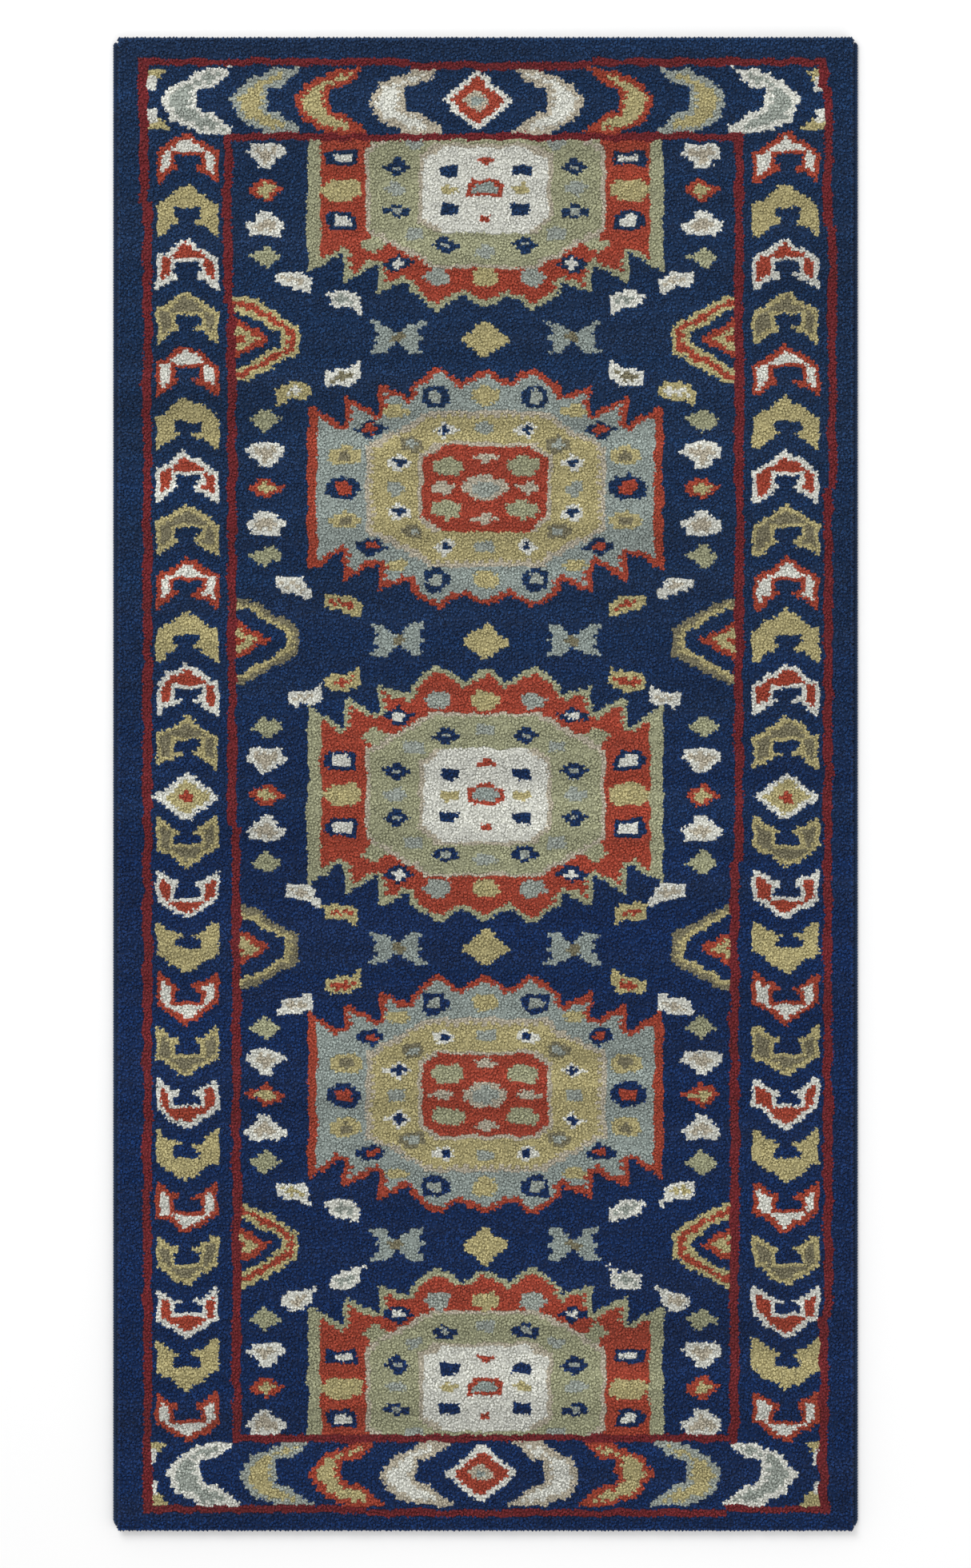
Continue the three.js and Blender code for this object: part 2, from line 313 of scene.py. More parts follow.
# The yarns of a medallion's zones, from its outline in, where its ground is brick and where it
# is grey.
ZONES = ("outline", "ground", "octagon_edge", "octagon", "centre_edge", "centre")
BRICK_SET = ("sage", "brick", "cream", "sage", "cream", "ivory")
GREY_SET = ("brick", "grey", "cream", "gold", "cream", "brick")
BRICK_SIDE, GREY_SIDE = 26.5, 27.1


def draw_medallion(chart, index):
    row, stretch = MEDALLION_ROWS[index], MEDALLION_STRETCH[index]
    brick_set = index % 2 == 0
    star, octagon, centre, inner = (
        filled(whole(quarter, row, stretch))
        for quarter in (STAR_QUARTER, OCTAGON_QUARTER, CENTRE_QUARTER, BRICK_CENTRE_QUARTER)
    )
    ground = core(star) & (np.abs(U) < (BRICK_SIDE if brick_set else GREY_SIDE))
    knots_of = (star, ground, octagon, core(octagon, not brick_set), centre, inner)
    for zone, knots, yarn in zip(ZONES, knots_of, BRICK_SET if brick_set else GREY_SET):
        chart.tie(knots, yarn, f"medallion_{index + 1}_{zone}")
    for shape, u, v, across, along, yarn in brick_details() if brick_set else grey_details():
        for side in (-1, 1) if u else (1,):
            for way in (-1, 1) if v else (1,):
                chart.tie(shape(side * u, row + way * v * stretch, across, along), yarn)


def eye(shape, u, v, across, along, rim, heart, share=0.5):
    """A small motif with a heart in another yarn."""
    return [
        (shape, u, v, across, along, rim),
        (shape, u, v, across * share, along * share, heart),
    ]


def brick_details():
    return [
        *eye(cushion, 0, 0, 3.0, 1.9, "brick", "grey", 0.62),
        (cushion, 5.9, 4, 1.5, 1.1, "navy"),
        (diamond, 5.8, 0, 1.9, 1.2, "gold"),
        (diamond, 0, 5.8, 1.3, 0.9, "brick"),
        (oval, 14.4, 0, 1.8, 1.2, "silver"),
        (oval, 11.4, 9, 1.6, 1.1, "silver"),
        (oval, 0, 12.2, 1.8, 1.2, "silver"),
        *eye(diamond, 14.3, 4.4, 2.4, 1.9, "navy", "silver", 0.42),
        *eye(diamond, 6.4, 11.2, 2.4, 1.9, "navy", "silver", 0.42),
        (oval, 23, 0, 3.3, 2.3, "gold"),
        *eye(cushion, 23, 6.3, 2.5, 1.7, "navy", "ivory", 0.55),
        (diamond, 18, 11, 2.4, 1.9, "sage"),
        *eye(diamond, 14, 14.8, 2.7, 1.9, "navy", "ivory", 0.5),
        (oval, 7.6, 17.6, 2.1, 1.8, "silver"),
        (oval, 0, 17.6, 2.1, 1.9, "gold"),
    ]


def grey_details():
    return [
        *eye(oval, 0, 0, 3.6, 2.6, "cream", "silver", 0.6),
        (oval, 6, 4.3, 2.6, 1.9, "sage"),
        (diamond, 7, 0, 2.0, 1.5, "cream"),
        (diamond, 0, 6.2, 2.2, 1.3, "cream"),
        *eye(diamond, 6.6, 11.7, 2.2, 1.8, "ivory", "navy", 0.5),
        *eye(diamond, 14, 5, 2.2, 1.8, "ivory", "navy", 0.5),
        *eye(oval, 11.6, 8.8, 1.9, 1.5, "taupe", "silver", 0.5),
        (oval, 14.4, 0, 1.5, 1.3, "silver"),
        (oval, 0, 12, 1.5, 1.3, "silver"),
        *eye(oval, 23, 0, 2.9, 2.4, "navy", "brick", 0.55),
        *eye(oval, 22.5, 6.5, 2.6, 1.8, "gold", "taupe", 0.5),
        *eye(diamond, 18.5, 11.7, 2.8, 2.0, "navy", "brick", 0.5),
        (oval, 14.3, 15.6, 1.9, 1.3, "gold"),
        *eye(oval, 8, 18.4, 2.3, 2.3, "navy", "silver", 0.5),
        (oval, 0, 18.5, 2.2, 1.9, "gold"),
    ]


ARROW_REACH = 12
ARROW_FOOT = 41.5
ARROW_HEARTS = ((5.2, 34.4, "brick"), (3.9, 36.2, "gold"))


def draw_side_arrows(chart):
    """The bands of each arrow, one inside the other, and the triangle at its heart."""
    for i, row in enumerate(GAP_ROWS):
        at_rug_end = i in (0, len(GAP_ROWS) - 1)
        for name, side in (("left", -1), ("right", 1)):
            band = filled(placed(both_halves(ARROW_HALF, False), 0, row, side))
            part = f"side_arrow_{i + 1}_{name}"
            chart.tie(band, "gold" if at_rug_end else "taupe", part)
            for yarn in ("brick", "gold", "navy") if at_rug_end else ("gold", "navy"):
                past_guard = ~chart.field & (np.abs(V - row) < ARROW_REACH)
                band = core(band | past_guard, toothed=yarn == "gold") & chart.field
                chart.tie(band, yarn)
            for half, tip, yarn in ARROW_HEARTS:
                triangle = ((ARROW_FOOT, half), (tip, 0), (ARROW_FOOT, -half))
                chart.tie(filled(placed(triangle, 0, row, side)), yarn)
            chart.tie(oval(side * 39.8, row, 1.2, 0.7), "brick")


FIELD_COLUMNS = (-35.3, 34.8)
COLUMN_STEPS = (
    ("sage diamond", 13.6), ("blob up", 6.9), ("brick diamond", 0), ("blob down", -6.9),
    ("sage diamond", -13.6),
)


def draw_field_columns(chart):
    """The two columns of small motifs beside the medallions."""
    for row in MEDALLION_ROWS:
        for column in FIELD_COLUMNS:
            for kind, offset in COLUMN_STEPS:
                v = row + offset
                if kind == "sage diamond":
                    chart.tie(diamond(column, v, 2.6, 2.4), "sage")
                elif kind == "brick diamond":
                    chart.tie(diamond(column, v, 3.2, 2.4), "brick")
                    chart.tie(diamond(column, v, 1.8, 1.3), "gold")
                else:
                    way = 1 if kind == "blob up" else -1
                    chart.rimmed(filled(placed(BLOB, column, v, 1, way)), "ivory", "cream")


# Small motifs on both sides of the rug: u, v, which way its tail and its ends point, its yarns.
SCATTERED = (
    (30.8, 101.0, 1, 1, "ivory cream"), (22.6, 97.0, 1, 1, "ivory silver"),
    (22.9, 82.1, 1, -1, "ivory taupe"), (30.7, 78.5, -1, 1, "gold ivory"),
    (30.9, 39.6, 1, 1, "ivory cream"), (22.9, 36.0, 1, 1, "gold brick"),
    (22.9, 20.8, 1, -1, "gold brick"), (29.0, 17.5, 1, -1, "ivory cream"),
    (29.5, -22.0, 1, 1, "ivory cream"), (23.3, -26.0, 1, 1, "gold brick"),
    (22.9, -40.0, 1, -1, "gold brick"), (30.5, -44.5, 1, -1, "ivory cream"),
    (31.0, -82.0, 1, 1, "ivory gold"), (22.7, -85.5, 1, 1, "ivory silver"),
    (22.5, -99.5, 1, -1, "ivory silver"), (30.3, -103.5, 1, -1, "ivory cream"),
)


def draw_scattered(chart):
    for u, v, tail, way, pair in SCATTERED:
        for side in (-1, 1):
            knots = filled(placed(TAILED_BLOB, side * u, v, -side * tail, way))
            chart.rimmed(knots, *pair.split())


BUTTERFLY_COLUMN = 14.1
BUTTERFLY_HALF = (
    (0, 0.9), (2, 3), (4.6, 3.2), (3, 1), (4, 0), (3, -1), (4.6, -3.2), (2, -3), (0, -0.9),
)


def draw_gap_motifs(chart):
    """A rosette between two butterflies in each gap between the medallions."""
    wings = both_halves(BUTTERFLY_HALF)
    for row in GAP_ROWS:
        for u in (-BUTTERFLY_COLUMN, BUTTERFLY_COLUMN):
            chart.tie(filled(placed(wings, u, row)), "grey")
            chart.tie(diamond(u, row, 1.4, 1.2), "taupe")
        chart.tie(oval(0, row, 2.6, 2.5) | diamond(0, row, 3.9, 3.9), "gold")


def knotters_chart():
    chart = Chart()
    draw_borders(chart)
    chart.worked = chart.border
    draw_chevrons(chart)
    draw_end_bands(chart)
    chart.worked = chart.field
    draw_side_arrows(chart)
    draw_field_columns(chart)
    draw_scattered(chart)
    draw_gap_motifs(chart)
    for index in range(len(MEDALLION_ROWS)):
        draw_medallion(chart, index)
    return chart


# ---- Places from the frame ----------------------------------------------------------

KNOT_WIDTH = (CAD_HIGH.x - CAD_LOW.x) / KNOTS_ACROSS
ROW_LENGTH = (CAD_HIGH.y - CAD_LOW.y) / ROWS_ALONG
CLOTH_LOW, CLOTH_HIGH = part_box("foundation_cloth")
PILE_LOW, PILE_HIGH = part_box("field_pile")
PILE_HEIGHT = PILE_HIGH.z - PILE_LOW.z
CORNER_RADIUS = 0.005
MM = 0.001


# ---- Settings -----------------------------------------------------------------------

def length(name, description, default):
    return bpy.props.FloatProperty(
        name=name, description=description, default=default, min=0, subtype="DISTANCE",
        unit="LENGTH",
    )


def share(name, description, default):
    return bpy.props.FloatProperty(
        name=name, description=description, default=default, min=0, max=1, subtype="FACTOR"
    )


def colour(name, description, default):
    return bpy.props.FloatVectorProperty(
        name=name, description=description, default=default, min=0, max=1, size=3, subtype="COLOR"
    )


class RugSizes(bpy.types.PropertyGroup):
    """Sizes of the yarn, the tufts and the edges."""

    yarn_radius: length("Yarn radius", "Half the width of a yarn end at its brushed tip", 1.55 * MM)
    yarn_root: length("Yarn root", "Half the width of a yarn end where it leaves the bed", 1.1 * MM)
    bed_height: length("Bed height", "Height of the packed yarn below the loose ends", 6.3 * MM)
    lean: share("Lean", "How far the pile leans towards the foot end", 0.35)
    disorder: share("Disorder", "How far each yarn end leans its own way", 0.40)
    wander: share("Wander", "How far a yarn end strays, as a share of a knot", 0.45)
    drift: length("Drift", "How far the rows and columns of knots wave", 1.3 * MM)
    thread: length("Stitch thread", "Diameter of the hem's sewing thread", 1.0 * MM)
    wrap_yarn: length("Wrap yarn", "Diameter of the selvedge's overcast yarn", 1.1 * MM)
    wrap_pitch: length("Wrap pitch", "Distance from one turn of the wrap to the next", 2.2 * MM)


class RugColours(bpy.types.PropertyGroup):
    """The dyed yarns and the undyed cotton."""

    # Painted light: navy and its foot-end colour are one yarn. The head-end navy is painted lighter
    # and greyer for how the light falls along the rug.
    navy: colour("Navy", "Indigo ground yarn at the head end", (0.0095, 0.036, 0.104))
    navy_foot: colour("Second navy", "The dye lot of the foot end", (0.0050, 0.028, 0.114))
    madder: colour("Madder", "Dark red guard yarn", (0.190, 0.021, 0.026))
    brick: colour("Brick", "Orange red yarn", (0.390, 0.066, 0.036))
    ivory: colour("Ivory", "Lightest wool", (0.710, 0.715, 0.655))
    cream: colour("Cream", "Warm undyed wool", (0.500, 0.455, 0.360))
    gold: colour("Gold", "Straw yarn", (0.480, 0.425, 0.215))
    sage: colour("Sage", "Green grey yarn", (0.385, 0.390, 0.250))
    taupe: colour("Taupe", "Brown grey yarn", (0.225, 0.205, 0.130))
    silver: colour("Silver", "Pale blue grey yarn", (0.355, 0.390, 0.350))
    grey: colour("Grey", "Blue grey yarn", (0.325, 0.375, 0.350))
    cotton: colour("Cotton", "Warp, weft and sewing thread", (0.560, 0.500, 0.380))
    floor: colour("Floor", "Pale floor", (0.900, 0.900, 0.900))


def sizes():
    return bpy.context.scene.rug_sizes


def colours():
    return bpy.context.scene.rug_colours


# ---- Making and finishing a mesh ----------------------------------------------------

def deselect():
    if bpy.context.object and bpy.context.object.mode != "OBJECT":
        bpy.ops.object.mode_set(mode="OBJECT")
    bpy.ops.object.select_all(action="DESELECT")


def newest(name):
    piece = bpy.context.object
    piece.name = name
    piece.data.name = name
    return piece


def edit(piece, kind="FACE"):
    """Edit mode on one piece with nothing selected."""
    deselect()
    piece.select_set(True)
    bpy.context.view_layer.objects.active = piece
    bpy.ops.object.mode_set(mode="EDIT")
    bpy.ops.mesh.select_mode(type=kind)
    bpy.ops.mesh.select_all(action="DESELECT")


def pick_faces(piece, chosen):
    """Selects faces by their middle and normal, from inside edit mode, and goes back to it."""
    bpy.ops.mesh.select_all(action="DESELECT")
    bpy.ops.object.mode_set(mode="OBJECT")
    for face in piece.data.polygons:
        face.select = chosen(face.center, face.normal)
    bpy.ops.object.mode_set(mode="EDIT")


def pick_edges(piece, chosen):
    """Selects edges by the places of their two ends, as pick_faces does faces."""
    bpy.ops.mesh.select_all(action="DESELECT")
    bpy.ops.object.mode_set(mode="OBJECT")
    points = piece.data.vertices
    for edge in piece.data.edges:
        edge.select = chosen(*(points[i].co for i in edge.vertices))
    bpy.ops.object.mode_set(mode="EDIT")


def move_vertices(piece, chosen, offset):
    """Selects vertices by their place and moves them."""
    edit(piece, "VERT")
    bpy.ops.object.mode_set(mode="OBJECT")
    for vertex in piece.data.vertices:
        vertex.select = chosen(vertex.co)
    bpy.ops.object.mode_set(mode="EDIT")
    bpy.ops.transform.translate(value=offset)
    bpy.ops.object.mode_set(mode="OBJECT")


def face_outwards():
    """Turns every face of the piece in edit mode outwards, and leaves edit mode."""
    bpy.ops.mesh.select_all(action="SELECT")
    bpy.ops.mesh.normals_make_consistent(inside=False)
    bpy.ops.object.mode_set(mode="OBJECT")


def done(piece):
    """Back to object mode, with the piece's place in its mesh."""
    deselect()
    piece.select_set(True)
    bpy.context.view_layer.objects.active = piece
    bpy.ops.object.transform_apply(location=True, rotation=True, scale=True)
    return piece


def apply_modifiers(piece):
    bpy.context.view_layer.objects.active = piece
    for modifier in list(piece.modifiers):
        bpy.ops.object.modifier_apply(modifier=modifier.name)


def repeated(piece, step, count):
    """The piece in a row with copies of itself, a step apart."""
    row = piece.modifiers.new("row", "ARRAY")
    row.use_relative_offset = False
    row.use_constant_offset = True
    row.constant_offset_displace = step
    row.count = count
    apply_modifiers(piece)
    return piece


def join(pieces, name):
    deselect()
    for piece in pieces:
        piece.select_set(True)
    bpy.context.view_layer.objects.active = pieces[0]
    bpy.ops.object.join()
    return newest(name)


def finish_piece(piece, finish, nodes):
    """Gives a piece its finish, its body and the CAD nodes that it stands for."""
    piece.data.materials.clear()
    piece.data.materials.append(finish)
    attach(piece, "root")
    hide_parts(*nodes)
    return piece


# ---- Finishes -----------------------------------------------------------------------

class Nodes:
    """Shorthand for building a node tree."""

    def __init__(self, tree):
        self.tree = tree
        tree.nodes.clear()

    def add(self, kind, values=(), **settings):
        node = self.tree.nodes.new(kind)
        for key, value in settings.items():
            setattr(node, key, value)
        for socket, value in dict(values).items():
            if isinstance(value, bpy.types.NodeSocket):
                self.tree.links.new(value, node.inputs[socket])
            else:
                node.inputs[socket].default_value = value
        return node

    def math(self, operation, a, b=0.0, c=0.0):
        return self.add("ShaderNodeMath", {0: a, 1: b, 2: c}, operation=operation).outputs[0]

    def vector(self, operation, a, b=(0, 0, 0), c=(0, 0, 0)):
        values = {0: a, 1: b, 2: c}
        return self.add("ShaderNodeVectorMath", values, operation=operation).outputs[0]

    def between(self, value, low, high, to_low, to_high):
        """A value that runs from low to high, made to run between two others."""
        values = {
            "Value": value, "From Min": low, "From Max": high, "To Min": to_low, "To Max": to_high,
        }
        return self.add("ShaderNodeMapRange", values).outputs["Result"]

    def mixed(self, share, first, second):
        values = {"Factor": share, 6: first, 7: second}
        return self.add("ShaderNodeMix", values, data_type="RGBA").outputs[2]

    def mapped(self, place, rotation=(0, 0, 0), scale=(1, 1, 1)):
        """A place turned or stretched."""
        values = {"Vector": place, "Rotation": rotation, "Scale": scale}
        return self.add("ShaderNodeMapping", values).outputs[0]

    def axes(self, place):
        return self.add("ShaderNodeSeparateXYZ", {0: place}).outputs

    def noise(self, place, scale, detail=2.0, roughness=0.5):
        values = {"Vector": place, "Scale": scale, "Detail": detail, "Roughness": roughness}
        return self.add("ShaderNodeTexNoise", values).outputs["Fac"]

    def brightened(self, colour, value):
        scaled = self.add("ShaderNodeVectorMath", {0: colour, 3: value}, operation="SCALE")
        return scaled.outputs[0]


def new_finish(name):
    finish = bpy.data.materials.new(name)
    finish.use_nodes = True
    return finish, Nodes(finish.node_tree)


def close_finish(nodes, colour, roughness, height, depth, sheen, sheen_tint):
    """The shader and the fibre relief that all the yarns share."""
    bump = nodes.add("ShaderNodeBump", {"Height": height, "Distance": depth, "Strength": 0.6})
    shader = nodes.add("ShaderNodeBsdfPrincipled", {
        "Base Color": colour, "Roughness": roughness, "Normal": bump.outputs[0],
        "Sheen Weight": sheen, "Sheen Roughness": 0.55, "Sheen Tint": (*sheen_tint, 1),
        "Specular IOR Level": 0.2,
    })
    nodes.add("ShaderNodeOutputMaterial", {"Surface": shader.outputs[0]})


# The grain of the yarns' tones, in waves to a metre or so.
SWIRL, FIBRE, STRAND, TWIST_FUZZ, TRAFFIC, SOIL = 14, 900, 2600, 1400, 9, 22
HAIR = (620, 170, 300)
BRUSHED_WAY = math.radians(-28)
TWIST_WAY = math.radians(38)
DYE_BARS = (1.2, 28, 1)
WAVE_TEXTURE_BANDS = 20


def wool(yarn, tint, painted_root_shade=0.75, fleck=0.12, second=None):
    """Cut wool pile: painted shade at the roots, flecked from ply to ply, barred where dye lots
    changed, and navy painted lighter and greyer towards the head end.
    """
    finish, nodes = new_finish(f"{yarn}_pile")
    place = nodes.add("ShaderNodeTexCoord").outputs["Object"]
    axes = nodes.axes(place)
    bed_top = PILE_LOW.z + sizes().bed_height
    # Painted shade: the yarn is darkened from its tips down to the bed, where shade falls deep in
    # the pile.
    root = nodes.between(axes["Z"], bed_top - MM, PILE_HIGH.z - 0.8 * MM, painted_root_shade, 1.0)
    tone = nodes.add("ShaderNodeAttribute", attribute_name="tone").outputs["Fac"]
    knot = nodes.between(tone, 0, 1, 1 - fleck, 1 + fleck)
    noise = {"Vector": place, "Scale": SWIRL, "Detail": 1}
    swirl = nodes.add("ShaderNodeTexNoise", noise).outputs["Color"]
    swept = nodes.vector("MULTIPLY_ADD", swirl, (0.02, 0.02, 0), place)
    brushed = nodes.mapped(swept, rotation=(0, 0, BRUSHED_WAY), scale=HAIR)
    hairs = nodes.between(nodes.noise(brushed, 1.0, 3, 0.6), 0.3, 0.7, 0.74, 1.26)
    fibre = nodes.between(nodes.noise(place, FIBRE, 2, 0.6), 0.3, 0.7, 0.9, 1.1)
    fibre = nodes.math("MULTIPLY", fibre, hairs)
    bars = nodes.mapped(place, scale=DYE_BARS)
    dye_lot = nodes.between(nodes.noise(bars, 1.0, 3, 0.7), 0.3, 0.7, 0.80, 1.20)
    traffic = nodes.between(nodes.noise(place, TRAFFIC, 2), 0.3, 0.7, 0.93, 1.07)
    value = nodes.math("MULTIPLY", root, knot)
    value = nodes.math("MULTIPLY", value, fibre)
    value = nodes.math("MULTIPLY", value, nodes.math("MULTIPLY", dye_lot, traffic))
    # Painted light: the navy is mixed lighter and greyer towards the head end, for how the light
    # falls along the rug, with a wavering line between.
    uneven = nodes.math("MULTIPLY", nodes.noise(bars, 0.8, 2), 0.5)
    towards_head = nodes.math("ADD", axes["Y"], uneven)
    foot_light_share = nodes.between(towards_head, 0.1, 0.5, 1.0, 0.0)
    dyed = nodes.mixed(foot_light_share, (*tint, 1), (*(second or tint), 1))
    faded = [0.5 * c + 0.05 for c in tint]
    wear = nodes.between(nodes.noise(bars, 1.7, 2), 0.4, 0.75, 0.0, 0.12)
    paint = nodes.brightened(nodes.mixed(wear, dyed, (*faded, 1)), value)
    roughness = nodes.between(fibre, 0.7, 1.3, 0.98, 0.86)
    strands = nodes.noise(place, STRAND, 2, 0.6)
    pale = [0.5 + 0.5 * c for c in tint]
    close_finish(nodes, paint, roughness, strands, 0.12 * MM, 0.12, pale)
    return finish


def cotton(name, tint, pitch):
    """Spun cotton: fine ribs of the thread's twist, in relief and in painted shade along their
    grooves, slightly soiled.
    """
    finish, nodes = new_finish(name)
    place = nodes.add("ShaderNodeTexCoord").outputs["Object"]
    twist = nodes.add("ShaderNodeTexWave", {
        "Vector": nodes.mapped(place, rotation=(0, 0, TWIST_WAY)),
        "Scale": math.tau / pitch / WAVE_TEXTURE_BANDS, "Distortion": 1.5, "Detail": 2,
    }).outputs["Fac"]
    fibre = nodes.noise(place, TWIST_FUZZ, 3, 0.6)
    soil = nodes.between(nodes.noise(place, SOIL, 3), 0.35, 0.7, 1.05, 0.82)
    # Painted shade: the twist's wave darkens the colour in the grooves between its ribs.
    value = nodes.math("MULTIPLY", nodes.between(twist, 0, 1, 0.78, 1.08), soil)
    value = nodes.math("MULTIPLY", value, nodes.between(fibre, 0.3, 0.7, 0.86, 1.12))
    paint = nodes.add("ShaderNodeRGB")
    paint.outputs[0].default_value = (*tint, 1)
    paint = nodes.brightened(paint.outputs[0], value)
    relief = nodes.math("ADD", twist, fibre)
    roughness = nodes.between(fibre, 0.3, 0.7, 0.94, 0.82)
    close_finish(nodes, paint, roughness, relief, 0.2 * MM, 0.05, tint)
    return finish


def finish_for(yarn):
    """The pile finish of a yarn, made when it is first asked for."""
    made = bpy.data.materials.get(f"{yarn}_pile")
    if made:
        return made
    if yarn == "navy":
        return wool(yarn, colours().navy, painted_root_shade=0.55, fleck=0.40, second=colours().navy_foot)
    return wool(yarn, getattr(colours(), yarn))


# ---- Knots --------------------------------------------------------------------------

END_SIDES = 3


def model_yarn_end():
    """One cut end of pile yarn on the origin: rooted in the bed, brushed out, with a soft point."""
    size = sizes()
    rooted = 0.8 * MM
    tall = PILE_HEIGHT - size.bed_height + rooted
    belly = 0.6 * tall
    deselect()
    bpy.ops.mesh.primitive_cone_add(
        vertices=END_SIDES, radius1=size.yarn_root, radius2=size.yarn_radius, depth=belly,
        location=(0, 0, belly / 2 - rooted), end_fill_type="NGON",
    )
    end = done(newest("yarn_end"))
    edit(end)
    pick_faces(end, lambda middle, normal: normal.z > 0.9)
    bpy.ops.mesh.extrude_region_move(
        TRANSFORM_OT_translate={"value": (0, -0.2 * size.yarn_radius, tall - belly)}
    )
    bpy.ops.mesh.merge(type="COLLAPSE")
    bpy.ops.object.mode_set(mode="OBJECT")
    bpy.ops.object.shade_smooth()
    end.hide_render = True
    return end


# How far in from the rug's sides and ends a bed's wall is still an edge with tufts on it.
SIDE_WALL = 4 * MM
END_WALL = MM


def knot_tree(yarn_end):
    """A modifier's tree that stands the two cut ends of a knot on every face of a bed's top."""
    tree = bpy.data.node_groups.new("cut_knots", "GeometryNodeTree")
    for way in ("INPUT", "OUTPUT"):
        tree.interface.new_socket("Geometry", in_out=way, socket_type="NodeSocketGeometry")
    nodes = Nodes(tree)
    normal = nodes.add("GeometryNodeInputNormal").outputs["Normal"]
    bed = nodes.add("GeometryNodeStoreNamedAttribute", {
        "Geometry": nodes.add("NodeGroupInput").outputs[0], "Name": "facing", "Value": normal,
    }, data_type="FLOAT_VECTOR", domain="FACE").outputs[0]
    ends = stood_ends(nodes, bed, yarn_end)
    bed = nodes.add("GeometryNodeSetPosition", {
        "Geometry": bed,
        "Position": waved(nodes, (0, 0, 0), Vector((CLOTH_HIGH.x, CAD_HIGH.y - 0.3 * MM, 1))),
    }).outputs[0]
    bed = nodes.add("GeometryNodeStoreNamedAttribute", {
        "Geometry": bed, "Name": "tone", "Value": 0.5,
    }, data_type="FLOAT", domain="POINT").outputs[0]
    both = nodes.add("GeometryNodeJoinGeometry")
    tree.links.new(bed, both.inputs[0])
    tree.links.new(ends, both.inputs[0])
    removed = {"Geometry": both.outputs[0], "Name": "facing"}
    plain = nodes.add("GeometryNodeRemoveAttribute", removed)
    nodes.add("NodeGroupOutput", {0: plain.outputs[0]})
    return tree


def stood_ends(nodes, bed, yarn_end):
    """The yarn ends: two on each knot, leaning the pile's way and each a little its own way."""
    size = sizes()

    def random(low, high, seed):
        values = {"Min": low, "Max": high, "Seed": seed}
        drawn = nodes.add("FunctionNodeRandomValue", values, data_type="FLOAT_VECTOR")
        return drawn.outputs["Value"]

    facing = nodes.add("GeometryNodeInputNamedAttribute", {"Name": "facing"},
                       data_type="FLOAT_VECTOR").outputs[0]
    upward = nodes.axes(facing)["Z"]
    middle = nodes.vector("ABSOLUTE", nodes.add("GeometryNodeInputPosition").outputs[0])
    edge = (CAD_HIGH.x - SIDE_WALL, CAD_HIGH.y - END_WALL, 0)
    beyond = nodes.axes(nodes.vector("SUBTRACT", middle, edge))
    at_edge = nodes.math("GREATER_THAN", nodes.math("MAXIMUM", beyond["X"], beyond["Y"]), 0)
    wall = nodes.math("MULTIPLY", at_edge, nodes.math("GREATER_THAN", upward, -0.5))
    tufted = nodes.math("MAXIMUM", wall, nodes.math("GREATER_THAN", upward, 0.5))
    points = nodes.add("GeometryNodeMeshToPoints", {"Mesh": bed, "Selection": tufted},
                       mode="FACES").outputs[0]
    pairs = nodes.add("GeometryNodeDuplicateElements", {"Geometry": points, "Amount": 2},
                      domain="POINT")
    side = nodes.math("SUBTRACT", pairs.outputs["Duplicate Index"], 0.5)
    on_wall = nodes.math("LESS_THAN", upward, 0.5)
    up_wall = nodes.math("MULTIPLY", side, on_wall)
    numbered = nodes.add("GeometryNodeSetID", {
        "Geometry": pairs.outputs["Geometry"],
        "ID": nodes.math("ADD", nodes.add("GeometryNodeInputIndex").outputs[0],
                         nodes.math("MULTIPLY", on_wall, wall_number(nodes, pairs.outputs[1]))),
    }).outputs[0]
    apart = nodes.add("ShaderNodeCombineXYZ", {
        0: nodes.math("MULTIPLY", side, KNOT_WIDTH / 2),
        1: size.lean * (PILE_HEIGHT - size.bed_height) / 2,
        2: nodes.math("MULTIPLY", up_wall, size.bed_height / 2),
    }).outputs[0]
    stray = Vector((KNOT_WIDTH / 2, ROW_LENGTH, 0)) * size.wander
    offset = nodes.vector("ADD", apart, random(-stray, stray, 3))
    edge = Vector((CLOTH_HIGH.x - 0.6 * MM, CAD_HIGH.y - 1.6 * MM, 1))
    points = nodes.add("GeometryNodeSetPosition", {
        "Geometry": numbered, "Position": waved(nodes, offset, edge),
    }).outputs[0]
    stands = random(
        (-size.disorder, -size.disorder - size.lean, 1),
        (size.disorder, size.disorder - size.lean, 1), 5,
    )
    stands = nodes.vector("ADD", stands, nodes.vector("MULTIPLY", facing, (3, 3, 0)))
    upright = nodes.add("FunctionNodeAlignRotationToVector", {"Vector": stands}, axis="Z")
    spin = random((0, 0, -math.pi), (0, 0, math.pi), 7)
    turn = nodes.add("FunctionNodeEulerToRotation", {0: spin})
    turned = nodes.add("FunctionNodeRotateRotation", {
        "Rotation": upright.outputs[0], "Rotate By": turn.outputs[0],
    }, rotation_space="LOCAL").outputs[0]
    yarn = nodes.add("GeometryNodeObjectInfo", {"Object": yarn_end, "As Instance": True})
    ends = nodes.add("GeometryNodeInstanceOnPoints", {
        "Points": points, "Instance": yarn.outputs["Geometry"], "Rotation": turned,
        "Scale": random((0.85, 0.85, 0.93), (1.2, 1.2, 1.06), 11),
    }).outputs[0]
    tone = nodes.add("FunctionNodeRandomValue", {2: 0.0, 3: 1.0, "Seed": 13}, data_type="FLOAT")
    ends = nodes.add("GeometryNodeStoreNamedAttribute", {
        "Geometry": ends, "Name": "tone", "Value": tone.outputs[1],
    }, data_type="FLOAT", domain="INSTANCE").outputs[0]
    ends = nodes.add("GeometryNodeRealizeInstances", {0: ends}).outputs[0]
    return nodes.add("GeometryNodeRemoveAttribute", {"Geometry": ends, "Name": "id"}).outputs[0]


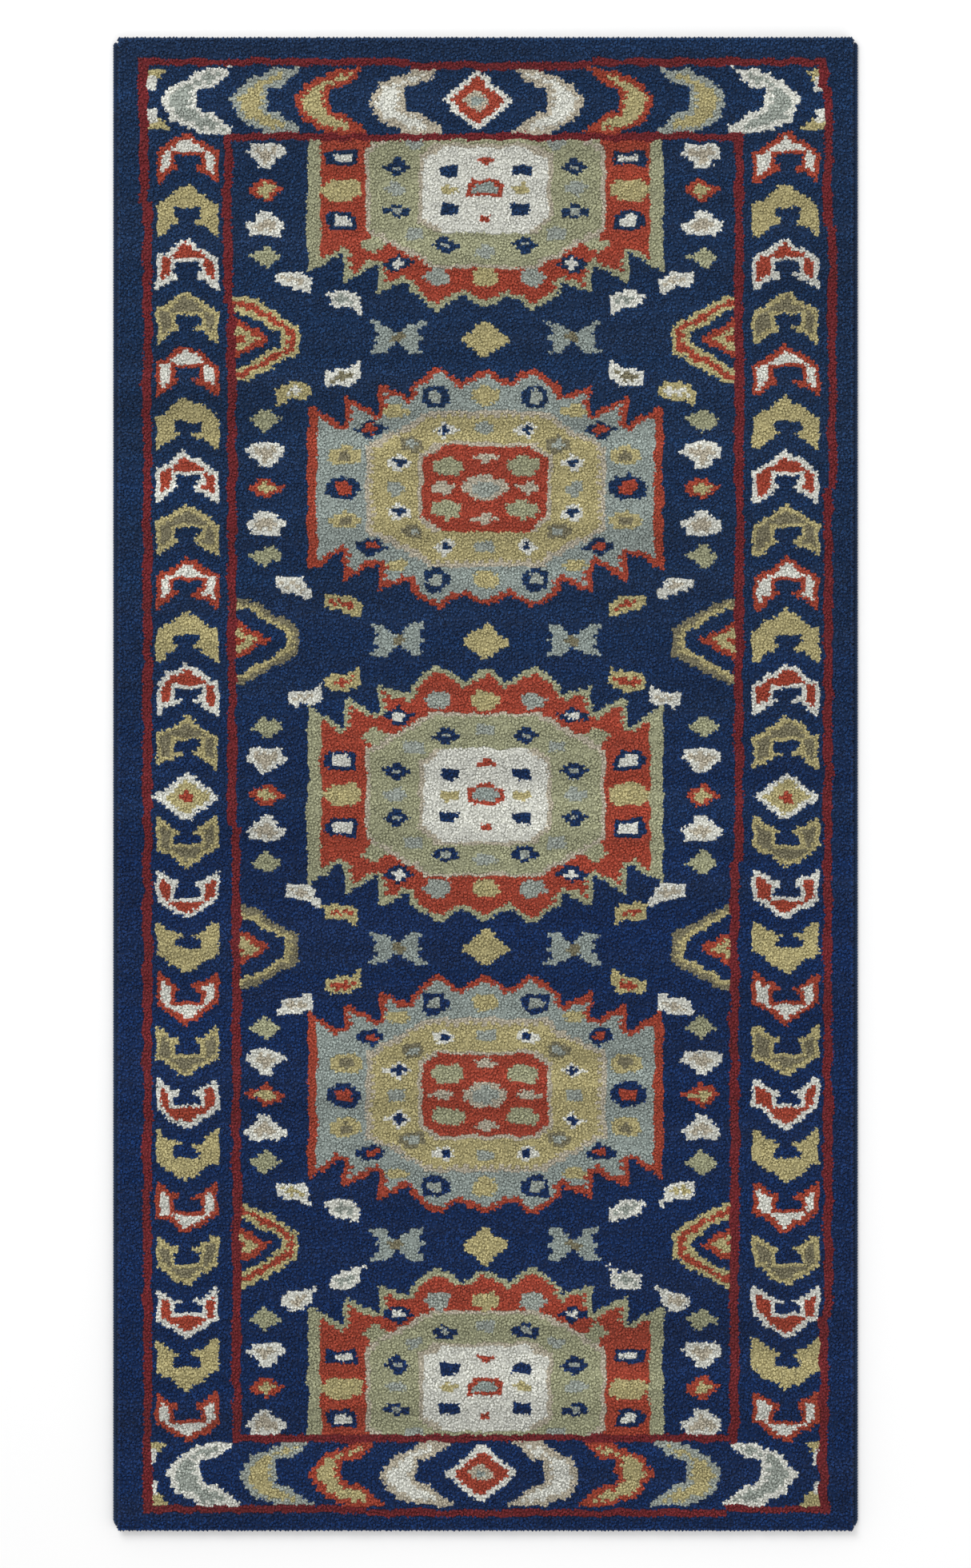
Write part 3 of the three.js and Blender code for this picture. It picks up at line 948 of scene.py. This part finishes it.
def wall_number(nodes, twin):
    """What to add to a wall tuft's index, so that its place gives its number.

    The order of a bed's wall faces can change from run to run, and the tufts with it.
    """
    half_knot = (KNOT_WIDTH / 2, ROW_LENGTH / 2, 1)
    place = nodes.add("GeometryNodeInputPosition").outputs[0]
    spot = nodes.axes(nodes.vector("DIVIDE", place, half_knot))
    column = nodes.math("ADD", nodes.math("ROUND", spot["X"]), KNOTS_ACROSS)
    row = nodes.math("ADD", nodes.math("ROUND", spot["Y"]), ROWS_ALONG)
    number = nodes.math("MULTIPLY_ADD", column, 2 * ROWS_ALONG + 1, row)
    number = nodes.math("MULTIPLY_ADD", number, 2, twin)
    return nodes.math("SUBTRACT", number, nodes.add("GeometryNodeInputIndex").outputs[0])


def waved(nodes, offset, edge):
    """A place drifting with the weave like its neighbours, offset, and held inside an edge."""
    place = nodes.add("GeometryNodeInputPosition").outputs[0]
    noise = nodes.add("ShaderNodeTexNoise", {"Vector": place, "Scale": 75, "Detail": 1})
    drift = nodes.vector("SUBTRACT", noise.outputs["Color"], (0.5, 0.5, 0.5))
    drift = nodes.vector("MULTIPLY", drift, Vector((6, 6, 0)) * sizes().drift)
    distance = nodes.vector("ABSOLUTE", place)
    inside = nodes.vector("MULTIPLY_ADD", distance, (-80, -80, 0), 80 * edge)
    inside = nodes.vector("MINIMUM", nodes.vector("MAXIMUM", inside), (1, 1, 1))
    moved = nodes.vector("ADD", nodes.vector("MULTIPLY_ADD", drift, inside, place), offset)
    return nodes.vector("MINIMUM", nodes.vector("MAXIMUM", moved, -edge), edge)


def knot_bed(name, knots):
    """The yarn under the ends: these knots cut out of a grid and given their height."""
    rows, columns = np.nonzero(knots)
    first, last = columns.min(), columns.max() + 1
    foot, head = rows.min(), rows.max() + 1
    left = (first - KNOTS_ACROSS / 2) * KNOT_WIDTH
    low = (foot - ROWS_ALONG / 2) * ROW_LENGTH
    width, depth = (last - first) * KNOT_WIDTH, (head - foot) * ROW_LENGTH
    height = sizes().bed_height
    deselect()
    bpy.ops.mesh.primitive_grid_add(
        x_subdivisions=int(last - first), y_subdivisions=int(head - foot), size=1,
        location=(left + width / 2, low + depth / 2, PILE_LOW.z + height),
    )
    bed = newest(name)
    bed.scale = (width, depth, 1)
    done(bed)
    edit(bed)

    def untied(middle, _):
        return not knots[int((middle.y - low) / ROW_LENGTH) + foot,
                         int((middle.x - left) / KNOT_WIDTH) + first]

    pick_faces(bed, untied)
    bpy.ops.mesh.delete(type="FACE")
    part_corners(bed)
    bpy.ops.mesh.select_all(action="SELECT")
    bpy.ops.mesh.extrude_region_move(TRANSFORM_OT_translate={"value": (0, 0, -height)})
    bpy.ops.mesh.dissolve_limited(angle_limit=math.radians(1))
    face_outwards()
    return bed


def part_corners(bed):
    """Parts knots that only touch at a corner, so that the bed closes properly."""
    bpy.ops.object.mode_set(mode="OBJECT")
    mesh = bed.data
    corners = np.zeros(len(mesh.loops), int)
    mesh.loops.foreach_get("vertex_index", corners)
    around = np.bincount(corners, minlength=len(mesh.vertices))
    sides = np.zeros(len(mesh.edges) * 2, int)
    mesh.edges.foreach_get("vertices", sides)
    edges_met = np.bincount(sides, minlength=len(mesh.vertices))
    pinched = (around == 2) & (edges_met == 4)
    edit(bed, "VERT")
    bpy.ops.object.mode_set(mode="OBJECT")
    mesh.vertices.foreach_set("select", pinched)
    bpy.ops.object.mode_set(mode="EDIT")
    if pinched.any():
        bpy.ops.mesh.edge_split(type="VERT")
    bpy.ops.mesh.select_mode(type="FACE")


def tie_pile(name, knots, yarn, nodes):
    """One piece of the pile: a stretch of the chart tied in one yarn."""
    yarn_end = bpy.data.objects.get("yarn_end") or model_yarn_end()
    tree = bpy.data.node_groups.get("cut_knots") or knot_tree(yarn_end)
    pile = knot_bed(name, knots)
    pile.modifiers.new("knots", "NODES").node_group = tree
    apply_modifiers(pile)
    return finish_piece(pile, finish_for(yarn), nodes)


def whole_rug_chart():
    """The chart with its edge knots left out, where the selvedges and the round corners are."""
    chart = knotters_chart()
    from_side = CAD_HIGH.x - np.abs((COLUMN + 0.5) * KNOT_WIDTH - CAD_HIGH.x)
    from_end = CAD_HIGH.y - np.abs((ROW + 0.5) * ROW_LENGTH - CAD_HIGH.y)
    in_corner = CORNER_RADIUS - np.minimum(CORNER_RADIUS, np.stack([from_side, from_end]))
    chart.tied = (from_side > KNOT_WIDTH) & (np.hypot(*in_corner) < CORNER_RADIUS)
    return chart


CHART = whole_rug_chart()


def tie_part(part, stretches=1):
    """The ground of one part, in its own yarn, in as many lengths as keep each piece small."""
    knots = CHART.tied & (CHART.part == part) & (CHART.yarn == CHART.ground[part])
    yarn = YARNS[CHART.ground[part]]
    if stretches == 1:
        return tie_pile(f"{part}_knots", knots, yarn, [part])
    for i in range(stretches):
        stretch = ROW * stretches // ROWS_ALONG == i
        tie_pile(f"{part}_knots_{i + 1}", knots & stretch, yarn, [part])


def tie_motifs(name, parts):
    """The small motifs of several parts, one piece to a yarn."""
    within = CHART.tied & np.isin(CHART.part, parts)
    ground = np.zeros(U.shape, bool)
    for part in parts:
        ground |= (CHART.part == part) & (CHART.yarn == CHART.ground[part])
    for code in np.unique(CHART.yarn[within & ~ground]):
        knots = within & ~ground & (CHART.yarn == code)
        tie_pile(f"{name}_{YARNS[code]}", knots, YARNS[code], [])


# ---- Cloth, hems and edges ----------------------------------------------------------

def knotted_cloth(tint):
    """The cloth's finish: yarn-coloured knot collars, with a cotton weft between their rows, and
    painted shade in the grooves between rows and warps.
    """
    finish, nodes = new_finish("knotted_cloth")
    place = nodes.add("ShaderNodeTexCoord").outputs["Object"]
    collar = nodes.add("ShaderNodeAttribute", attribute_name="collar").outputs["Color"]
    axes = nodes.axes(place)

    def rise(axis, half):
        """How high the cloth stands, from nothing at a groove to one between two grooves."""
        height = nodes.math("PINGPONG", nodes.math("ADD", axes[axis], 1.0), half)
        return nodes.math("DIVIDE", height, half)

    row, column = rise("Y", ROW_LENGTH / 2), rise("X", KNOT_WIDTH / 4)
    fibre = nodes.noise(place, FIBRE, 3, 0.6)
    ragged = nodes.math("ADD", row, nodes.math("MULTIPLY", fibre, 0.5))
    weft = nodes.between(ragged, 0.42, 0.62, 1.0, 0.0)
    under = nodes.between(axes["Z"], 0.5 * MM, 2.6 * MM, 1.0, 0.0)
    bare = nodes.math("MULTIPLY", nodes.math("MULTIPLY", weft, 0.75), under)
    # Painted shade: the colour darkens towards each groove between the rows and between the warps,
    # following the relief.
    relief = nodes.math("MULTIPLY", nodes.math("SQRT", row), nodes.math("SQRT", column))
    light = nodes.math("MULTIPLY", relief, nodes.math("ADD", fibre, 0.6))
    value = nodes.between(light, 0, 1, 0.45, 1.1)
    paint = nodes.brightened(nodes.mixed(bare, collar, (*tint, 1)), value)
    roughness = nodes.between(fibre, 0.3, 0.7, 0.96, 0.86)
    close_finish(nodes, paint, roughness, relief, 0.5 * MM, 0.05, tint)
    return finish


def model_cloth():
    """The knotted foundation, one sheet from hem to hem, thinner where the hems lie under it."""
    size = CLOTH_HIGH - CLOTH_LOW
    deselect()
    bpy.ops.mesh.primitive_grid_add(
        x_subdivisions=SQUARES_ACROSS, y_subdivisions=SQUARES_ALONG, size=1,
        location=(0, 0, CLOTH_LOW.z),
    )
    cloth = newest("foundation")
    cloth.scale = (size.x, size.y, 1)
    done(cloth)
    edit(cloth)
    bpy.ops.mesh.select_all(action="SELECT")
    bpy.ops.mesh.region_to_loop()
    bpy.ops.mesh.extrude_region_move(TRANSFORM_OT_translate={"value": (0, 0, size.z)})
    bpy.ops.mesh.edge_face_add()
    face_outwards()
    stitch_low, stitch_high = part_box("hem_stitch_head")
    move_vertices(
        cloth,
        lambda at: at.z < CLOTH_HIGH.z / 2 and abs(at.y) > stitch_low.y - 1.5 * MM,
        (0, 0, stitch_high.z + 0.5 * MM),
    )
    paint_collars(cloth)
    return cloth


def paint_collars(cloth):
    """Gives each face of the cloth the colour of the yarn that is knotted round its warps."""
    collar = cloth.data.attributes.new("collar", "FLOAT_COLOR", "FACE")
    for face, tied in zip(cloth.data.polygons, collar.data):
        column = int((face.center.x - CAD_LOW.x) / KNOT_WIDTH)
        row = int((face.center.y - CAD_LOW.y) / ROW_LENGTH)
        yarn = YARNS[CHART.yarn[min(row, ROWS_ALONG - 1), min(column, KNOTS_ACROSS - 1)]]
        tied.color = (*getattr(colours(), yarn), 1)


HEM_THICKNESS = 1.35 * MM
HEM_RIBS = 14
RIB_DEPTH = 0.22 * MM


def model_hem():
    """The kilim at the head end: a ribbed flap folded under the cloth and up round its edge."""
    low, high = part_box("kilim_hem_head")
    flap = CLOTH_HIGH.y
    deselect()
    bpy.ops.mesh.primitive_cube_add(size=1, location=(0, (low.y + flap) / 2, HEM_THICKNESS / 2))
    hem = newest("kilim_hem_head_end")
    hem.scale = (high.x - low.x, flap - low.y, HEM_THICKNESS)
    done(hem)
    edit(hem)
    pick_faces(hem, lambda middle, normal: normal.y > 0.9)
    fold = {"value": (0, high.y - flap - 0.2 * MM, 0)}
    bpy.ops.mesh.extrude_region_move(TRANSFORM_OT_translate=fold)
    pick_faces(hem, lambda middle, normal: normal.z > 0.9 and middle.y > flap)
    turned_up = {"value": (0, 0, high.z - HEM_THICKNESS)}
    bpy.ops.mesh.extrude_region_move(TRANSFORM_OT_translate=turned_up)
    bpy.ops.object.mode_set(mode="OBJECT")
    rib(hem, flap)
    return hem


def rib(hem, flap):
    """Rounds the fold, and cuts the flap's length into ribs, one to a weft."""
    _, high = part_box("kilim_hem_head")
    edit(hem, "EDGE")
    pick_edges(hem, lambda a, b: min(a.y, b.y) > high.y - 0.3 * MM and abs(a.x - b.x) > 0.1
               and (max(a.z, b.z) < 0.1 * MM or min(a.z, b.z) > high.z - 0.1 * MM))
    bpy.ops.mesh.bevel(offset=0.7 * MM, segments=3)
    pick_edges(hem, lambda a, b: abs(a.y - b.y) > 5 * MM)
    bpy.ops.mesh.subdivide(number_cuts=2 * HEM_RIBS - 1)
    bpy.ops.object.mode_set(mode="OBJECT")
    cuts = sorted({round(v.co.y, 6) for v in hem.data.vertices if v.co.y < flap - MM})
    grooves = set(cuts[1::2])
    move_vertices(
        hem, lambda at: round(at.y, 6) in grooves and at.z < 0.1 * MM, (0, 0, RIB_DEPTH)
    )
    done(hem)
    bpy.ops.object.shade_smooth_by_angle(angle=math.radians(40))


def mirrored_copy(piece, name, axis):
    """A copy of a piece on the other side of the rug, with its faces still pointing out."""
    deselect()
    piece.select_set(True)
    bpy.context.view_layer.objects.active = piece
    bpy.ops.object.duplicate()
    copy = newest(name)
    copy.scale = tuple(-1 if i == axis else 1 for i in range(3))
    done(copy)
    edit(copy)
    face_outwards()
    return copy


STITCH_PITCH = 14.5 * MM


def model_hem_stitches():
    """A slanting row of sewing thread that dives into the cloth at each end of every stitch."""
    low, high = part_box("hem_stitch_head")
    thread = sizes().thread
    reach = high.y - low.y - thread
    slope = math.atan2(reach, STITCH_PITCH)
    pair = []
    for i, way in enumerate((1, -1)):
        middle = low.x + (i + 0.5) * STITCH_PITCH
        deselect()
        bpy.ops.mesh.primitive_cylinder_add(
            vertices=8, radius=thread / 2, depth=math.hypot(reach, STITCH_PITCH),
            location=(middle, (low.y + high.y) / 2, thread / 2),
            rotation=(0, math.pi / 2, way * slope),
        )
        stitch = done(newest("stitch"))
        edit(stitch, "EDGE")
        pick_edges(stitch, lambda a, b: (a - b).length > thread * 3)
        bpy.ops.mesh.subdivide(number_cuts=4)
        bpy.ops.object.mode_set(mode="OBJECT")
        move_vertices(
            stitch, lambda at: abs(at.x - middle) > 0.45 * STITCH_PITCH, (0, 0, 0.9 * MM)
        )
        pair.append(stitch)
    count = round((high.x - low.x) / STITCH_PITCH / 2)
    row = repeated(join(pair, "hem_stitches_head_end"), (2 * STITCH_PITCH, 0, 0), count)
    bpy.ops.object.shade_smooth_by_angle(angle=math.radians(50))
    return row


TURN_SLANT = math.radians(16)
TURN_OVERLAP = 1.08
# The turns that close each end of a selvedge: how many pitches past the last, and their share
# of its size.
CLOSING_TURNS = ((0.75, 0.68), (1.25, 0.22))


def overcast_turn(y, share=1.0):
    """One slanting turn of yarn round the right-hand selvedge, or a smaller one at its end."""
    low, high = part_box("selvedge_wrap_right")
    size = sizes()
    thin = size.wrap_yarn / 2
    deselect()
    bpy.ops.mesh.primitive_torus_add(
        major_segments=12, minor_segments=4, minor_radius=thin,
        major_radius=share * ((high.x - low.x) / 2 - thin),
        location=(0, 0, 0), rotation=(math.pi / 2, 0, TURN_SLANT),
    )
    turn = done(newest("turn"))
    turn.scale = (1, TURN_OVERLAP / 2 * size.wrap_pitch / thin, 1)
    turn.location = ((low.x + high.x) / 2, y, (low.z + high.z) / 2)
    done(turn)
    bpy.ops.object.shade_smooth()
    return turn


def model_selvedge_wrap():
    """The right-hand selvedge: turns of navy yarn side by side, closed over the cord's ends."""
    low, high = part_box("selvedge_wrap_right")
    pitch = sizes().wrap_pitch
    left_for_closing = 3
    count = int((high.y - low.y) / pitch) - left_for_closing
    last = (count - 1) * pitch / 2
    turns = repeated(overcast_turn(-last), (0, pitch, 0), count)
    closing = [
        overcast_turn(end * (last + step * pitch), share)
        for end in (-1, 1) for step, share in CLOSING_TURNS
    ]
    return join([turns, *closing], "selvedge_wrap_right_edge")


def model_selvedge_cord():
    """The bundle of cotton warps inside the right-hand selvedge: six round a seventh."""
    low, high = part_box("selvedge_cord_right")
    covered = 6 * MM
    pressed = 0.97
    radius = (high.x - low.x) / 6
    middle = (low + high) / 2
    warps = []
    for i in range(7):
        angle = i * math.pi / 3
        out = 2 * radius * pressed if i else 0
        deselect()
        bpy.ops.mesh.primitive_cylinder_add(
            vertices=8, radius=radius, depth=high.y - low.y - 2 * covered,
            rotation=(math.pi / 2, 0, 0),
            location=(middle.x + out * math.cos(angle), middle.y, middle.z + out * math.sin(angle)),
        )
        warp = done(newest("warp"))
        edit(warp)
        pick_faces(warp, lambda at, normal: abs(normal.y) > 0.9)
        bpy.ops.mesh.inset(thickness=0.35 * radius)
        bpy.ops.transform.resize(value=(1, 1.0004, 1))
        bpy.ops.object.mode_set(mode="OBJECT")
        warps.append(warp)
    cord = join(warps, "selvedge_cord_right_edge")
    bpy.ops.object.shade_smooth_by_angle(angle=math.radians(50))
    return cord


# ---- Operators ----------------------------------------------------------------------

SIDES = ("head", "foot", "left", "right")


def tie_group(parts, motifs=None, stretches=1):
    """Ties the grounds of some parts, and then the small motifs that are drawn in them."""
    for part in parts:
        tie_part(part, stretches)
    if motifs:
        tie_motifs(motifs, parts)
    return {"FINISHED"}


class RUG_OT_cloth(bpy.types.Operator):
    """Weave the knotted foundation cloth"""

    bl_idname = "rug.cloth"
    bl_label = "Foundation Cloth"

    def execute(self, context):
        cloth = model_cloth()
        finish_piece(cloth, knotted_cloth(colours().cotton), ["foundation_cloth"])
        return {"FINISHED"}


class RUG_OT_hems(bpy.types.Operator):
    """Fold the kilim hems under and sew them down"""

    bl_idname = "rug.hems"
    bl_label = "Hems and Stitches"

    def execute(self, context):
        weave = cotton("kilim_cotton", colours().cotton, 1.5 * MM)
        thread = cotton("sewing_cotton", [1.1 * c for c in colours().cotton], 0.6 * MM)
        pieces = (
            (model_hem(), "kilim_hem", weave), (model_hem_stitches(), "hem_stitch", thread),
        )
        for piece, node, finish in pieces:
            other = mirrored_copy(piece, piece.name.replace("head", "foot"), 1)
            finish_piece(piece, finish, [f"{node}_head"])
            finish_piece(other, finish, [f"{node}_foot"])
        return {"FINISHED"}


class RUG_OT_selvedges(bpy.types.Operator):
    """Cord the two long edges and overcast them"""

    bl_idname = "rug.selvedges"
    bl_label = "Selvedges"

    def execute(self, context):
        wrap = wool("selvedge", [0.75 * c for c in colours().navy], painted_root_shade=1.0)
        warp = cotton("warp_cotton", colours().cotton, 1.0 * MM)
        pieces = (
            (model_selvedge_wrap(), "selvedge_wrap", wrap, "selvedge_wool"),
            (model_selvedge_cord(), "selvedge_cord", warp, "cotton"),
        )
        for piece, node, finish, slot in pieces:
            other = mirrored_copy(piece, piece.name.replace("right", "left"), 0)
            finish_piece(piece, finish, [f"{node}_right"])
            finish_piece(other, finish, [f"{node}_left"])
        return {"FINISHED"}


class RUG_OT_margin_pile(bpy.types.Operator):
    """Tie the plain margin outside the outer guard stripe"""

    bl_idname = "rug.margin_pile"
    bl_label = "Margin Pile"

    def execute(self, context):
        return tie_group([f"margin_pile_{side}" for side in SIDES])


class RUG_OT_guard_pile(bpy.types.Operator):
    """Tie the two dark red guard stripes"""

    bl_idname = "rug.guard_pile"
    bl_label = "Guard Stripes"

    def execute(self, context):
        return tie_group(["outer_guard_pile", "inner_guard_pile"])


class RUG_OT_border_pile(bpy.types.Operator):
    """Tie the border's ground, its chevrons and the crescents across its ends"""

    bl_idname = "rug.border_pile"
    bl_label = "Border Pile"

    def execute(self, context):
        return tie_group([f"border_pile_{side}" for side in SIDES], "border_motifs")


class RUG_OT_side_arrow_pile(bpy.types.Operator):
    """Tie the arrows that point into the field from the inner guard"""

    bl_idname = "rug.side_arrow_pile"
    bl_label = "Side Arrows"

    def execute(self, context):
        parts = [
            f"side_arrow_{i + 1}_{side}" for i in range(len(GAP_ROWS)) for side in SIDES[2:]
        ]
        return tie_group(parts, "side_arrow_bands")


class RUG_OT_medallion_pile(bpy.types.Operator):
    """Tie the five medallions, zone by zone, and the small motifs in them"""

    bl_idname = "rug.medallion_pile"
    bl_label = "Medallions"

    def execute(self, context):
        parts = [f"medallion_{i + 1}_{zone}" for i in range(len(MEDALLION_ROWS)) for zone in ZONES]
        return tie_group(parts, "medallion_motifs")


class RUG_OT_field_pile(bpy.types.Operator):
    """Tie the navy field and the small motifs scattered over it"""

    bl_idname = "rug.field_pile"
    bl_label = "Field Pile"

    def execute(self, context):
        return tie_group(["field_pile"], "field_motifs", stretches=3)


CAMERA_HEIGHT = 3.02
LENS = 85
FLOOR_SIZE = 8
# Each lamp's name, place, size across and power.
LAMPS = (("key_light", (-0.9, 1.3, 2.6), 1.6, 46), ("fill_light", (1.4, -1.2, 2.4), 2.2, 22))
ROOM_LIGHT = 0.62


class RUG_OT_stage(bpy.types.Operator):
    """Set the pale floor, the soft lights and the camera over the rug"""

    bl_idname = "rug.stage"
    bl_label = "Floor, Lights and Camera"

    def execute(self, context):
        context.scene.view_settings.view_transform = "Standard"
        deselect()
        bpy.ops.mesh.primitive_plane_add(size=FLOOR_SIZE, location=(0, 0, -0.3 * MM))
        floor = newest("floor")
        finish, nodes = new_finish("floor_paint")
        shader = nodes.add("ShaderNodeBsdfPrincipled", {
            "Base Color": (*colours().floor, 1), "Roughness": 0.9,
        })
        nodes.add("ShaderNodeOutputMaterial", {"Surface": shader.outputs[0]})
        floor.data.materials.append(finish)
        for lamp in LAMPS:
            self.light(*lamp)
        world = bpy.data.worlds.new("room")
        context.scene.world = world
        world.use_nodes = True
        sky = world.node_tree.nodes["Background"].inputs
        sky["Color"].default_value = (1, 1, 1, 1)
        sky["Strength"].default_value = ROOM_LIGHT
        overhead = (0, 0, CAD_HIGH.z + CAMERA_HEIGHT)
        bpy.ops.object.camera_add(location=overhead, rotation=(0, 0, 0))
        camera = bpy.context.object
        camera.name = "camera"
        camera.data.lens = LENS
        camera.data.sensor_width = 36
        context.scene.camera = camera
        return {"FINISHED"}

    def light(self, name, place, size, power):
        bpy.ops.object.light_add(type="AREA", location=place)
        lamp = bpy.context.object
        lamp.name = name
        lamp.rotation_euler = (-Vector(place)).to_track_quat("-Z", "Y").to_euler()
        lamp.data.size = size
        lamp.data.energy = power


OPERATORS = (
    RUG_OT_cloth, RUG_OT_hems, RUG_OT_selvedges, RUG_OT_margin_pile, RUG_OT_guard_pile,
    RUG_OT_border_pile, RUG_OT_side_arrow_pile, RUG_OT_medallion_pile, RUG_OT_field_pile,
    RUG_OT_stage,
)


class RUG_PT_panel(bpy.types.Panel):
    """The rug's settings and the steps that build it"""

    bl_idname = "RUG_PT_panel"
    bl_label = "Wool Rug"
    bl_space_type = "VIEW_3D"
    bl_region_type = "UI"
    bl_category = "Rug"

    def draw(self, context):
        for group in (context.scene.rug_sizes, context.scene.rug_colours):
            box = self.layout.box()
            for name in group.__annotations__:
                box.prop(group, name)
        for step in OPERATORS:
            self.layout.operator(step.bl_idname)


CLASSES = (RugSizes, RugColours, *OPERATORS, RUG_PT_panel)


def register():
    for made in CLASSES:
        bpy.utils.register_class(made)
    bpy.types.Scene.rug_sizes = bpy.props.PointerProperty(type=RugSizes)
    bpy.types.Scene.rug_colours = bpy.props.PointerProperty(type=RugColours)


def unregister():
    del bpy.types.Scene.rug_colours
    del bpy.types.Scene.rug_sizes
    for made in reversed(CLASSES):
        bpy.utils.unregister_class(made)


def clear_startup():
    """Takes away the cube, lamp and camera that Blender starts with."""
    deselect()
    for name in ("Cube", "Light", "Camera"):
        if name in bpy.data.objects:
            bpy.data.objects[name].select_set(True)
    bpy.ops.object.delete()


def main():
    clear_startup()
    register()
    for step in OPERATORS:
        group, name = step.bl_idname.split(".")
        getattr(getattr(bpy.ops, group), name)()
    bpy.data.objects.remove(bpy.data.objects["yarn_end"])


if __name__ == "__main__":
    main()
